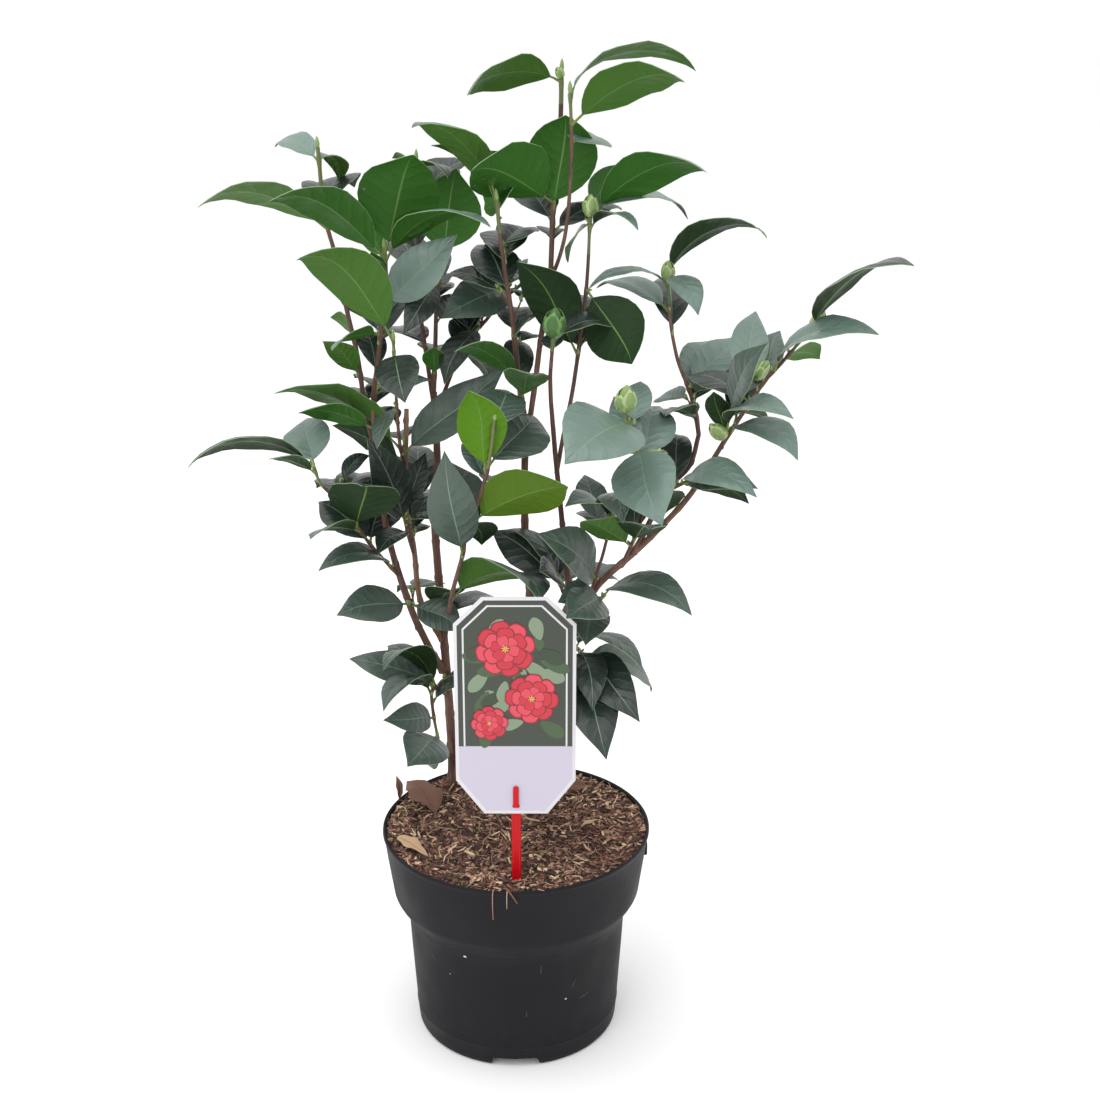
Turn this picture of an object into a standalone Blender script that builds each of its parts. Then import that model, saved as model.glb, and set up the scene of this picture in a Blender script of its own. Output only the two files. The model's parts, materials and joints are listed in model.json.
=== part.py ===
"""A young camellia shrub in a round black nursery pot, with its label on a stick.

Two trunks stand in the compost. Bare boughs leave them, and where a bough
enters a mass of foliage its stem carries on 0.3 mm clear of it, as shoots with
leaves, flower buds and seeded side twigs. X runs to the right, Y to the back
and Z up from the underside of the pot. Sizes are millimetres until they are
made into a mesh.
"""
import math
import random
from collections import namedtuple

import bmesh
import bpy
from mathutils import Matrix, Vector
from mathutils.bvhtree import BVHTree

MM = 0.001
SLIVER = 2e-7                  # metres: corners closer than this are one
GAP = 0.3                      # clear between two pieces that meet

# ---- pot, a 3 litre container ------------------------------------------------
POT_HEIGHT = 151.0
POT_WALL = 1.6
POT_SIDES = 32
RIM_RADIUS = 93.0
COLLAR_FOOT_RADIUS = 86.6      # foot of the deep collar under the rim
COLLAR_FOOT_HEIGHT = 104.0
SHOULDER_RADIUS = 77.6         # where the sloped shoulder meets the body
SHOULDER_HEIGHT = 90.0
FOOT_RADIUS = 71.6
FOOT_EDGE = 3.0                # rounding of the foot's outer edge
FOOT_RING_WIDTH = 7.0
FLOOR_HEIGHT = 7.0             # underside of the floor, inside the foot ring
PAD_RADIUS = 14.0              # flat pad in the middle of the floor
NOTCH_WIDTH = 35.0
NOTCH_HEIGHT = 7.0
NOTCH_COUNT = 3
DRAIN_RADIUS = 5.0
DRAIN_RING_RADIUS = 44.0
DRAIN_COUNT = 6

# ---- compost -----------------------------------------------------------------
COMPOST_EDGE = 143.0           # height of the compost at the wall of the pot
COMPOST_CROWN = 147.0          # and in the middle
MOUND_TOP = 151.0              # flat top of the mound at each trunk's foot
MOUND_TOP_RADIUS = 9.0
MOUND_FOOT_RADIUS = 24.0
MOUND_DEPTH = 14.0
COMPOST_CLEAR = 0.4            # between the compost and the pot's wall

# ---- label -------------------------------------------------------------------
CARD_WIDTH = 77.0
CARD_TOP = 348.5
CARD_BOTTOM = 198.5
CARD_CENTRE_X = 1.8
CARD_BACK_Y = -75.0
CARD_THICKNESS = 0.8
CARD_CORNER = 18.0             # the cut corners
CARD_LOWER_CUT = 24.0          # height of the lower ones
SLOT_WIDTH = 8.0
SLOT_HEIGHT = 3.0
SLOT_MIDDLE = 204.5
STICK_WIDTH = 6.0
STICK_THICKNESS = 2.0
STICK_TOP = 218.5              # tip of the tongue in front of the card
STICK_FOOT = 95.0

# ---- leaves ------------------------------------------------------------------
# A leaf's habit: how far it lifts off the stem and hooks at its tip, in
# degrees, and its breadth over its length.
Habit = namedtuple("Habit", "lift hook breadth")
ARCH = Habit(30, 45, 0.42)
BOW = Habit(20, 30, 0.50)
FLAT = Habit(8, 20, 0.50)
HOOK = Habit(50, 56, 0.40)
BROAD = Habit(14, 30, 0.62)
ROUND = Habit(5, 48, 0.76)
STRAP = Habit(15, 22, 0.37)
CURL = Habit(70, 72, 0.36)
DOME = Habit(50, 56, 0.50)

# Half breadth along the blade, from the foot of its stalk to its tip.
BLADE_STATIONS = ((0.00, 0.00), (0.12, 0.06), (0.34, 0.47), (0.66, 0.42), (1.00, 0.00))
STALK_END = 1                  # the station where the stalk meets the blade
BLADE_FOLD = math.radians(14)  # each half rises from the midrib
BLADE_THICKNESS = 0.017        # of the leaf's length
STALK_RADIUS = 0.75
FOOT_OFFSET = 0.5              # how far a stalk's foot lies off its stem's middle, in radii
HANDLE = 0.36                  # length of the midrib's handles over the leaf's

SWING_STEPS = (0, 6, -6, 12, -12, 18, -18, 26, -26)
CLEARANCE = 0.9                # kept between a leaf and all other pieces

# ---- seeded side twigs -------------------------------------------------------
SPIRAL = 144.0                 # two fifths of a turn from leaf to leaf
TWIG_LENGTH = (16.0, 26.0)
TWIG_RADIUS = 0.9
TWIG_RISE = (20.0, 50.0)
REAR = (62.0, 128.0)           # headings of the leaves that fill the far side
REAR_SHARE = (0.15, 0.70)
REAR_LEAF_LENGTH = (46.0, 66.0)
REAR_LEAF_RISE = (-10.0, 30.0)
REAR_FACING = (-20.0, 30.0)
TWIG_SHARE = (0.35, 0.75)
TWIG_LEAVES = 3
TWIG_LEAF_STEP = 0.25
MASS_REACH = 96.0              # how far a mass reaches from its stem

LIMB_SIDES = 7
SHOOT_SIDES = 4
SHOOT_STEP = 15.0              # spacing of the rings along a shoot
LIMB_STEP = 18.0
FLARE_HEIGHT = 9.0             # of the root flare
FLARE = 0.85                   # how much wider a trunk is at its foot

Limb = namedtuple("Limb", "name parent route foot_radius tip_radius")
Leaf = namedtuple("Leaf", "share heading rise length facing habit")
Bud = namedtuple("Bud", "share heading rise length breadth")
Shoot = namedtuple("Shoot", "route foot_radius tip_radius leaves buds")
Mass = namedtuple("Mass", "name limb shoots rear_leaves twigs")

# ---- trunks and boughs: (right, back, up) along each -------------------------
LIMBS = (
    Limb("trunk_left", None,
         ((-47, 60, 151.3), (-49, 48, 228), (-52, 42, 295), (-55, 38, 361), (-52, 34, 408), (-53, 30, 453)),
         3.5, 2.2),
    Limb("bough_left", "trunk_left",
         ((-52, 44, 248), (-61, 38, 268), (-73, 28, 304), (-85, 14, 361), (-90, 6, 419)), 2.6, 1.9),
    Limb("cane_left", "trunk_left",
         ((-52, 43, 272), (-66, 36, 304), (-69, 28, 347), (-73, 22, 378), (-70, 16, 445)), 2.0, 1.6),
    Limb("trunk_right", None,
         ((20, 34, 151.3), (20, 24, 221), (14, 16, 283), (8, 12, 342), (7, 10, 387), (8, 8, 437)), 3.5, 2.2),
    Limb("bough_centre", "trunk_right",
         ((8, 9, 422), (14, 14, 462), (18, 18, 492), (24, 21, 524)), 1.9, 1.7),
    Limb("bough_middle", "trunk_right",
         ((20, 22, 226), (32, 8, 275), (36, -2, 320), (32, -8, 372), (27, -11, 424)), 2.3, 1.6),
    Limb("bough_right", "bough_middle",
         ((34, 2, 290), (54, -14, 332), (82, -20, 362), (109, -26, 394), (124, -28, 418)), 2.6, 1.7),
    Limb("bough_right_upper", "bough_right",
         ((78, -20, 358), (99, -14, 398), (114, -6, 413), (120, 0, 432)), 1.9, 1.5),
)

# ---- masses of foliage -------------------------------------------------------
MASSES = (
    Mass("foliage_left_crown", "bough_left", (
        Shoot(((-90, 6, 419), (-90, 4, 454), (-86, 4, 482), (-80, 6, 528), (-80, 8, 551)), 1.8, 1.1, (
            Leaf(0.12, -150, 18, 54, 45, BOW),
            Leaf(0.95, -144, 27, 88, 40, ARCH),
            Leaf(0.98, -66, 64, 82, 70, ROUND),
            Leaf(0.94, 130, 40, 58, 70, STRAP),
            Leaf(0.86, -112, 28, 34, 40, STRAP),
            Leaf(0.94, -32, 26, 84, 20, HOOK),
            Leaf(0.72, -12, 44, 68, -60, FLAT),
            Leaf(0.88, -124, 50, 20, 50, FLAT),
            Leaf(0.59, -126, -4, 45, 50, BOW),
        ), ()),
    ), 3, 1),
    Mass("foliage_left_cane", "bough_left", (
        Shoot(((-88, 9, 404), (-96, 10, 447), (-101, 16, 483), (-107, 22, 509), (-114, 28, 544),
               (-120, 32, 569), (-123, 36, 610)), 1.7, 1.3, (
            Leaf(0.76, -144, 12, 90, 25, ARCH),
            Leaf(0.96, 132, 6, 50, -20, ARCH),
            Leaf(0.96, 80, -24, 45, -20, HOOK),
            Leaf(0.31, -132, 42, 40, 55, BOW),
            Leaf(0.42, 126, 18, 32, 60, BROAD),
        ), ()),
    ), 3, 1),
    Mass("foliage_far_left", "bough_left", (
        Shoot(((-78, 22, 326), (-94, 6, 353), (-106, -6, 376), (-116, -16, 395), (-123, -22, 406),
               (-126, -26, 418)), 1.3, 0.9, (
            Leaf(1.00, -146, 8, 84, 25, HOOK),
            Leaf(1.00, 102, 24, 50, -50, BROAD),
            Leaf(0.96, -140, 24, 36, 40, BOW),
            Leaf(0.50, -76, 42, 60, 60, ROUND),
            Leaf(0.46, -120, 10, 52, 50, BOW),
            Leaf(0.34, 90, 14, 56, -60, BROAD),
            Leaf(0.10, -135, 12, 62, -20, HOOK),
        ), ()),
    ), 2, 1),
    Mass("foliage_left_heart", "cane_left", (
        Shoot(((-69, 29, 340), (-72, 20, 358), (-73, 12, 374)), 1.3, 0.9, (
            Leaf(0.90, -140, 42, 46, -40, BOW),
            Leaf(1.00, 48, 62, 44, -50, STRAP),
            Leaf(0.95, -20, 8, 42, -30, BOW),
            Leaf(0.60, -114, -6, 40, -20, BOW),
            Leaf(0.80, -125, 58, 76, -45, STRAP),
        ), ()),
    ), 2, 1),
    Mass("foliage_left_low", "cane_left", (
        Shoot(((-65, 37, 300), (-70, 26, 304), (-72, 20, 308)), 1.2, 0.9, (
            Leaf(0.95, -150, 2, 54, -40, BROAD),
            Leaf(0.80, -20, -22, 40, -40, BROAD),
        ), ()),
    ), 2, 0),
    Mass("foliage_left_front", "cane_left", (
        Shoot(((-72, 20, 404), (-74, 6, 424), (-74, -6, 450), (-74, -12, 477), (-74, -16, 497)), 1.2, 0.9, (
            Leaf(1.00, -128, 38, 92, 60, STRAP),
            Leaf(0.92, -76, -30, 46, -60, BROAD),
            Leaf(0.55, -106, -28, 40, 40, BOW),
            Leaf(0.20, 166, 26, 74, 35, ARCH),
            Leaf(0.14, 6, 40, 89, -50, STRAP),
            Leaf(0.08, 150, 16, 60, 60, FLAT),
        ), ()),
    ), 2, 0),
    Mass("foliage_inner_back", "trunk_left", (
        Shoot(((-53, 31, 442), (-59, 38, 486), (-62, 42, 513), (-63, 46, 554), (-62, 48, 601)), 1.5, 1.1, (
            Leaf(0.97, -52, -6, 36, 30, ARCH),
            Leaf(0.97, 118, 4, 40, 40, STRAP),
            Leaf(0.81, 64, 28, 60, -40, FLAT),
            Leaf(0.62, 110, 58, 52, -40, FLAT),
        ), ()),
    ), 3, 1),
    Mass("foliage_inner_left", "trunk_left", (
        Shoot(((-53, 30, 453), (-51, 27, 485), (-49, 24, 517), (-45, 22, 542)), 1.7, 1.1, (
            Leaf(1.00, 60, 72, 58, 80, ROUND),
            Leaf(0.83, -116, -30, 52, -50, STRAP),
            Leaf(0.14, -86, 48, 30, 60, FLAT),
        ), ()),
    ), 2, 0),
    Mass("foliage_inner_right", "trunk_left", (
        Shoot(((-53, 32, 436), (-34, 42, 480), (-18, 50, 498), (-9, 54, 509), (9, 58, 523)), 1.4, 1.0, (
            Leaf(0.91, -136, -10, 66, -45, BOW),
            Leaf(0.60, -126, -28, 60, -20, STRAP),
            Leaf(0.97, 122, 6, 60, -30, BOW),
            Leaf(0.40, 68, -34, 60, -20, BOW),
        ), ()),
    ), 3, 1),
    Mass("foliage_centre_front", "trunk_left", (
        Shoot(((-51, 44, 268), (-45, 14, 304), (-40, -8, 330), (-33, -22, 357), (-30, -30, 374),
               (-22, -40, 397), (-14, -48, 427), (-10, -54, 456)), 1.8, 1.1, (
            Leaf(0.30, -55, 15, 97, 50, DOME),
            Leaf(0.43, -114, 60, 84, -65, STRAP),
            Leaf(0.65, -36, 26, 84, 62, BOW),
            Leaf(0.83, -102, 46, 70, 65, BROAD),
            Leaf(0.85, 64, 16, 66, -60, BROAD),
            Leaf(0.96, 82, 18, 50, -50, BROAD),
            Leaf(0.65, 80, -40, 40, 50, BROAD),
            Leaf(0.54, 102, 34, 75, -40, FLAT),
            Leaf(0.35, 106, -34, 50, 40, BROAD),
        ), ()),
    ), 1, 0),
    Mass("foliage_left_foot", "trunk_left", (
        Shoot(((-49, 48, 226), (-56, 30, 241), (-59, 22, 240), (-57, 12, 227), (-54, 6, 213)), 1.5, 1.0, (
            Leaf(0.38, -118, 30, 74, 45, CURL),
            Leaf(0.34, -180, 20, 65, -30, ARCH),
            Leaf(0.44, -116, 8, 66, 20, HOOK),
            Leaf(0.78, -136, 16, 46, -55, BOW),
            Leaf(0.97, -106, 4, 58, -50, BROAD),
            Leaf(1.00, 112, -52, 40, -50, BROAD),
            Leaf(0.36, 122, 24, 50, -30, BOW),
        ), ()),
    ), 1, 0),
    Mass("foliage_centre", "trunk_right", (
        Shoot(((8, 8, 437), (4, 8, 463), (0, 6, 506), (-4, 4, 533), (-7, 2, 557), (-9, 0, 581)), 2.0, 1.1, (
            Leaf(1.00, -132, 34, 84, 20, HOOK),
            Leaf(0.97, 150, 36, 60, 30, ARCH),
            Leaf(0.93, 106, 38, 60, 60, BROAD),
            Leaf(0.40, -56, 40, 24, -40, FLAT),
            Leaf(0.20, -134, 26, 62, 30, ARCH),
            Leaf(0.12, -72, 22, 52, 50, BROAD),
            Leaf(0.60, 112, 22, 60, -20, BOW),
            Leaf(0.80, 72, 2, 56, -30, BOW),
        ), ()),
    ), 3, 1),
    Mass("foliage_top", "bough_centre", (
        Shoot(((24, 21, 524), (26, 24, 576), (30, 26, 620), (31, 26, 657)), 1.7, 1.4, (
            Leaf(0.94, -146, 0, 64, 60, DOME),
            Leaf(0.40, -130, 18, 80, 55, BROAD),
            Leaf(0.36, -70, 74, 50, 80, ROUND),
            Leaf(0.30, 112, 18, 60, -20, BOW),
            Leaf(0.26, 42, 8, 62, -20, ARCH),
            Leaf(0.70, 68, -6, 30, -20, BROAD),
        ), (Bud(0.97, -120, 50, 8, 4.5),)),
        Shoot(((24, 22, 528), (31, 16, 548), (35, 12, 571), (37, 6, 611), (36, 2, 645)), 1.3, 1.0, (
            Leaf(0.84, -42, 18, 86, 35, HOOK),
            Leaf(0.97, 22, 10, 82, 20, HOOK),
            Leaf(0.75, 68, -4, 50, -40, BROAD),
        ), ()),
    ), 3, 0),
    Mass("foliage_middle_top", "bough_middle", (
        Shoot(((27, -11, 424), (24, -20, 470), (26, -30, 503)), 1.6, 1.1, (
            Leaf(0.95, 38, -6, 56, -10, HOOK),
        ), (Bud(1.00, -80, 70, 19, 13),)),
    ), 0, 0),
    Mass("foliage_middle_low", "bough_middle", (
        Shoot(((36, -3, 322), (32, -16, 330), (30, -22, 340)), 1.3, 0.9, (
            Leaf(1.00, 144, 32, 50, 0, HOOK),
            Leaf(0.95, -110, 28, 44, -50, BROAD),
            Leaf(0.95, 150, 24, 60, -35, BOW),
        ), ()),
    ), 1, 0),
    Mass("foliage_right_crown", "bough_middle", (
        Shoot(((28, -10, 409), (33, -4, 436), (38, 2, 459), (43, 6, 494), (47, 8, 528),
               (49, 10, 571)), 1.5, 1.0, (
            Leaf(0.47, -146, 54, 78, 60, BOW),
            Leaf(1.00, -36, 20, 88, 50, HOOK),
            Leaf(1.00, 64, 42, 50, 60, BOW),
            Leaf(1.00, 30, -2, 74, -10, HOOK),
            Leaf(0.80, -66, -28, 66, 45, ARCH),
            Leaf(0.95, -50, 4, 44, 10, HOOK),
            Leaf(0.97, 122, -46, 40, -30, BOW),
        ), (Bud(1.00, -90, 70, 14, 9),)),
    ), 3, 1),
    Mass("foliage_right_tip", "bough_right", (
        Shoot(((124, -28, 418), (134, -30, 437), (155, -34, 473), (166, -36, 487), (183, -38, 509)), 1.7, 0.9, (
            Leaf(0.97, -50, 30, 90, 0, STRAP),
            Leaf(0.81, -30, 20, 64, -20, HOOK),
            Leaf(0.81, 48, -14, 36, 60, BROAD),
            Leaf(0.25, -56, -4, 62, -20, HOOK),
            Leaf(0.59, 70, 30, 50, -50, FLAT),
        ), (Bud(1.00, 0, 55, 13, 7),)),
        Shoot(((132, -30, 431), (138, -40, 466), (149, -44, 479)), 1.0, 0.8, (
            Leaf(0.50, -72, 48, 74, -55, FLAT),
            Leaf(0.81, 76, 32, 70, -50, BOW),
            Leaf(0.25, -58, 22, 66, -25, HOOK),
            Leaf(0.19, -114, 52, 42, 40, STRAP),
            Leaf(0.44, 46, -14, 42, 20, STRAP),
        ), (Bud(1.00, -20, 55, 14, 7), Bud(0.16, -160, 40, 14, 9))),
    ), 3, 0),
    Mass("foliage_right_under", "bough_right_upper", (
        Shoot(((98, -14, 397), (106, -20, 404), (112, -24, 408)), 1.2, 0.9, (
            Leaf(0.95, -60, 16, 66, -50, ARCH),
            Leaf(0.75, -50, 10, 66, -30, STRAP),
            Leaf(0.55, 28, -20, 60, 40, ARCH),
            Leaf(0.30, 104, -44, 40, 40, BROAD),
        ), ()),
    ), 1, 0),
    Mass("foliage_right_spire", "bough_right_upper", (
        Shoot(((120, 0, 432), (117, 4, 450), (112, 8, 464), (106, 12, 479), (101, 16, 503),
               (99, 20, 529)), 1.5, 0.9, (
            Leaf(1.00, -38, 20, 76, 30, HOOK),
            Leaf(1.00, -68, -20, 46, -20, HOOK),
            Leaf(0.97, -160, 0, 54, 0, HOOK),
            Leaf(0.80, 134, 6, 66, -10, ARCH),
            Leaf(0.12, -122, 12, 44, 40, BOW),
            Leaf(0.23, 68, 22, 70, -50, BROAD),
            Leaf(0.30, 44, 26, 60, -30, BOW),
            Leaf(0.09, 110, -4, 40, -20, BOW),
        ), (Bud(1.00, -90, 75, 13, 8),)),
    ), 2, 0),
    Mass("foliage_right_front", "bough_right", (
        Shoot(((72, -18, 352), (81, -40, 387), (80, -52, 423), (76, -56, 442), (69, -58, 462)), 1.3, 0.9, (
            Leaf(0.94, -118, -4, 84, -45, BROAD),
            Leaf(0.72, 74, 22, 58, -65, BROAD),
            Leaf(0.80, -78, -28, 68, -75, BROAD),
            Leaf(0.14, -140, 30, 56, 60, FLAT),
            Leaf(0.18, -80, 30, 52, 60, BROAD),
            Leaf(0.75, 110, 30, 50, -50, STRAP),
        ), (Bud(1.00, -70, 78, 17, 12), Bud(0.70, 10, 20, 18, 10))),
    ), 1, 0),
    Mass("foliage_right_inner", "bough_right", (
        Shoot(((49, -10, 321), (55, -24, 348), (60, -30, 370), (63, -32, 395)), 1.3, 0.9, (
            Leaf(0.29, -130, 38, 74, -50, BOW),
            Leaf(1.00, -86, 6, 61, -55, HOOK),
            Leaf(0.88, -124, 22, 56, -20, ARCH),
            Leaf(0.29, 124, -6, 60, 20, BOW),
        ), ()),
    ), 2, 0),
    Mass("foliage_right_low", "bough_right", (
        Shoot(((47, -8, 316), (54, -24, 324), (58, -34, 333)), 1.2, 0.9, (
            Leaf(1.00, -46, 6, 76, -15, HOOK),
            Leaf(1.00, -114, 6, 60, -55, FLAT),
            Leaf(0.96, -150, 10, 40, -45, BROAD),
            Leaf(0.50, -98, -10, 50, -60, FLAT),
        ), ()),
    ), 1, 0),
    Mass("foliage_right_foot", "bough_middle", (
        Shoot(((32, 8, 275), (42, -14, 288), (44, -24, 288)), 1.2, 0.9, (
            Leaf(0.60, -50, 4, 70, -10, CURL),
            Leaf(0.92, -60, -16, 76, -30, ARCH),
            Leaf(1.00, -84, -10, 66, -60, BOW),
            Leaf(0.94, 30, -36, 70, -25, ARCH),
            Leaf(0.80, -76, -34, 84, -50, STRAP),
        ), ()),
    ), 2, 0),
)

COLOURS = {
    "pot": (0.035, 0.033, 0.036),
    "compost": (0.16, 0.10, 0.06),
    "card": (0.80, 0.78, 0.84),
    "stick": (0.60, 0.02, 0.05),
    "bark": (0.15, 0.075, 0.055),
    "leaf": (0.055, 0.15, 0.055),
}


# ---- helpers -----------------------------------------------------------------
def material(name, roughness):
    """One Principled material, made once."""
    found = bpy.data.materials.get(name)
    if found:
        return found
    made = bpy.data.materials.new(name)
    made.use_nodes = True
    shader = made.node_tree.nodes["Principled BSDF"]
    shader.inputs["Base Color"].default_value = (*COLOURS[name], 1.0)
    shader.inputs["Roughness"].default_value = roughness
    return made


def new_object(name, mesh_builder, finish=None, roughness=0.5):
    """An object whose mesh is mesh_builder, a bmesh in millimetres."""
    bmesh.ops.scale(mesh_builder, vec=(MM, MM, MM), verts=mesh_builder.verts)
    bmesh.ops.recalc_face_normals(mesh_builder, faces=mesh_builder.faces)
    mesh = bpy.data.meshes.new(name)
    mesh_builder.to_mesh(mesh)
    mesh_builder.free()
    made = bpy.data.objects.new(name, mesh)
    bpy.context.scene.collection.objects.link(made)
    if finish:
        mesh.materials.append(material(finish, roughness))
    return made


def between(span, share):
    """The value at a share of the way across a span."""
    return span[0] + (span[1] - span[0]) * share


def polar(heading, rise):
    """Unit vector from a heading (0 right, 90 back) and a rise, in degrees."""
    turn, climb = math.radians(heading), math.radians(rise)
    return Vector((math.cos(turn) * math.cos(climb), math.sin(turn) * math.cos(climb), math.sin(climb)))


def smooth_route(points, step):
    """Points about a step apart on the Catmull-Rom curve through a route."""
    route = [Vector(p) for p in points]
    route = [2 * route[0] - route[1]] + route + [2 * route[-1] - route[-2]]
    made = []
    for before, start, end, after in zip(route, route[1:], route[2:], route[3:]):
        pieces = max(2, round((end - start).length / step))
        for piece in range(pieces):
            t = piece / pieces
            made.append(0.5 * (2 * start + (end - before) * t
                               + (2 * before - 5 * start + 4 * end - after) * t * t
                               + (3 * start - before - 3 * end + after) * t ** 3))
    made.append(route[-2])
    return made


def lengths_along(line):
    """Distance from the start of a line to each of its points."""
    run = [0.0]
    for start, end in zip(line, line[1:]):
        run.append(run[-1] + (end - start).length)
    return run


def point_at(line, share):
    """Point at a share of a line's length, and the line's direction there."""
    run = lengths_along(line)
    target = share * run[-1]
    for index in range(len(line) - 1):
        if target <= run[index + 1] or index == len(line) - 2:
            part = (target - run[index]) / (run[index + 1] - run[index])
            direction = (line[index + 1] - line[index]).normalized()
            return line[index].lerp(line[index + 1], part), direction


def sweep(builder, line, radii, sides):
    """A closed tapering tube along a line, its rings turned as little as can be."""
    tangent = (line[1] - line[0]).normalized()
    across = tangent.orthogonal().normalized()
    rings = []
    for index, centre in enumerate(line):
        ahead = line[min(index + 1, len(line) - 1)] - line[max(index - 1, 0)]
        tangent = ahead.normalized()
        across = (across - across.dot(tangent) * tangent).normalized()
        up = tangent.cross(across)
        ring = []
        for side in range(sides):
            angle = 2 * math.pi * side / sides
            offset = radii[index] * (math.cos(angle) * across + math.sin(angle) * up)
            ring.append(builder.verts.new(centre + offset))
        rings.append(ring)
    for lower, upper in zip(rings, rings[1:]):
        for side in range(sides):
            following = (side + 1) % sides
            builder.faces.new((lower[side], lower[following], upper[following], upper[side]))
    builder.faces.new(rings[0][::-1])
    builder.faces.new(rings[-1])


def taper(line, foot_radius, tip_radius):
    """Radius at each point of a line, falling evenly from foot to tip."""
    run = lengths_along(line)
    return [foot_radius + (tip_radius - foot_radius) * along / run[-1] for along in run]


# ---- pot and compost ---------------------------------------------------------
def pot_radius(height):
    """Outer radius of the pot's wall at a height."""
    steps = ((FOOT_EDGE, FOOT_RADIUS), (SHOULDER_HEIGHT - 30, SHOULDER_RADIUS - 2.4),
             (SHOULDER_HEIGHT - 8, SHOULDER_RADIUS - 1.2), (SHOULDER_HEIGHT, SHOULDER_RADIUS),
             (COLLAR_FOOT_HEIGHT - 4, COLLAR_FOOT_RADIUS - 2.2), (COLLAR_FOOT_HEIGHT, COLLAR_FOOT_RADIUS),
             (COLLAR_FOOT_HEIGHT + 28, COLLAR_FOOT_RADIUS + 4), (POT_HEIGHT, RIM_RADIUS))
    for (low, low_radius), (high, high_radius) in zip(steps, steps[1:]):
        if height <= high:
            return low_radius + (high_radius - low_radius) * (height - low) / (high - low)
    return RIM_RADIUS


OUTER_HEIGHTS = (SHOULDER_HEIGHT - 30, SHOULDER_HEIGHT - 8, SHOULDER_HEIGHT, COLLAR_FOOT_HEIGHT - 4,
                 COLLAR_FOOT_HEIGHT, COLLAR_FOOT_HEIGHT + 28)
INNER_HEIGHTS = (FLOOR_HEIGHT + POT_WALL, SHOULDER_HEIGHT - 6, COLLAR_FOOT_HEIGHT + 2)


def inner_radius(height):
    """Radius of the pot's inner wall, which smooths the shoulder over."""
    below = [ring for ring in INNER_HEIGHTS if ring <= height]
    low = max(below) if below else INNER_HEIGHTS[0]
    above = [ring for ring in (*INNER_HEIGHTS, POT_HEIGHT - 1.0) if ring > low]
    high = min(above)
    share = (height - low) / (high - low)
    return pot_radius(low) + (pot_radius(high) - pot_radius(low)) * share - POT_WALL


def turned(profile, sides):
    """A bmesh turned about Z from an open profile whose ends lie on the axis."""
    builder = bmesh.new()
    verts = [builder.verts.new((radius, 0.0, height)) for radius, height in profile]
    edges = [builder.edges.new(pair) for pair in zip(verts, verts[1:])]
    bmesh.ops.spin(builder, geom=verts + edges, cent=(0, 0, 0), axis=(0, 0, 1),
                   angle=2 * math.pi, steps=sides, use_merge=True)
    bmesh.ops.remove_doubles(builder, verts=builder.verts, dist=0.001)
    return builder


def drum(builder, radius, low, high, centre, sides):
    """A closed upright cylinder."""
    ends = bmesh.ops.create_cone(builder, cap_ends=True, segments=sides, radius1=radius, radius2=radius,
                                 depth=high - low)
    bmesh.ops.translate(builder, vec=(centre[0], centre[1], (low + high) / 2), verts=ends["verts"])


def box(builder, low, high):
    """A closed box between two corners."""
    made = bmesh.ops.create_cube(builder, size=1.0)
    size = [b - a for a, b in zip(low, high)]
    bmesh.ops.scale(builder, vec=size, verts=made["verts"])
    bmesh.ops.translate(builder, vec=[(a + b) / 2 for a, b in zip(low, high)], verts=made["verts"])
    return made["verts"]


def carve(target, cutter, operation="DIFFERENCE"):
    """Apply one Boolean with a cutter to a target, and remove the cutter."""
    modifier = target.modifiers.new("carve", "BOOLEAN")
    modifier.operation = operation
    modifier.solver = "EXACT"
    modifier.object = cutter
    apply_modifiers(target)
    tidy(target)
    bpy.data.objects.remove(cutter, do_unlink=True)


def tidy(target):
    """Merge an object's doubled corners and clear its slivers."""
    builder = bmesh.new()
    builder.from_mesh(target.data)
    bmesh.ops.remove_doubles(builder, verts=builder.verts, dist=SLIVER)
    bmesh.ops.dissolve_degenerate(builder, edges=builder.edges, dist=SLIVER)
    builder.to_mesh(target.data)
    builder.free()


def apply_modifiers(target):
    """Replace an object's mesh by its evaluated one."""
    graph = bpy.context.evaluated_depsgraph_get()
    mesh = bpy.data.meshes.new_from_object(target.evaluated_get(graph))
    target.modifiers.clear()
    old = target.data
    target.data = mesh
    bpy.data.meshes.remove(old)


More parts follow.
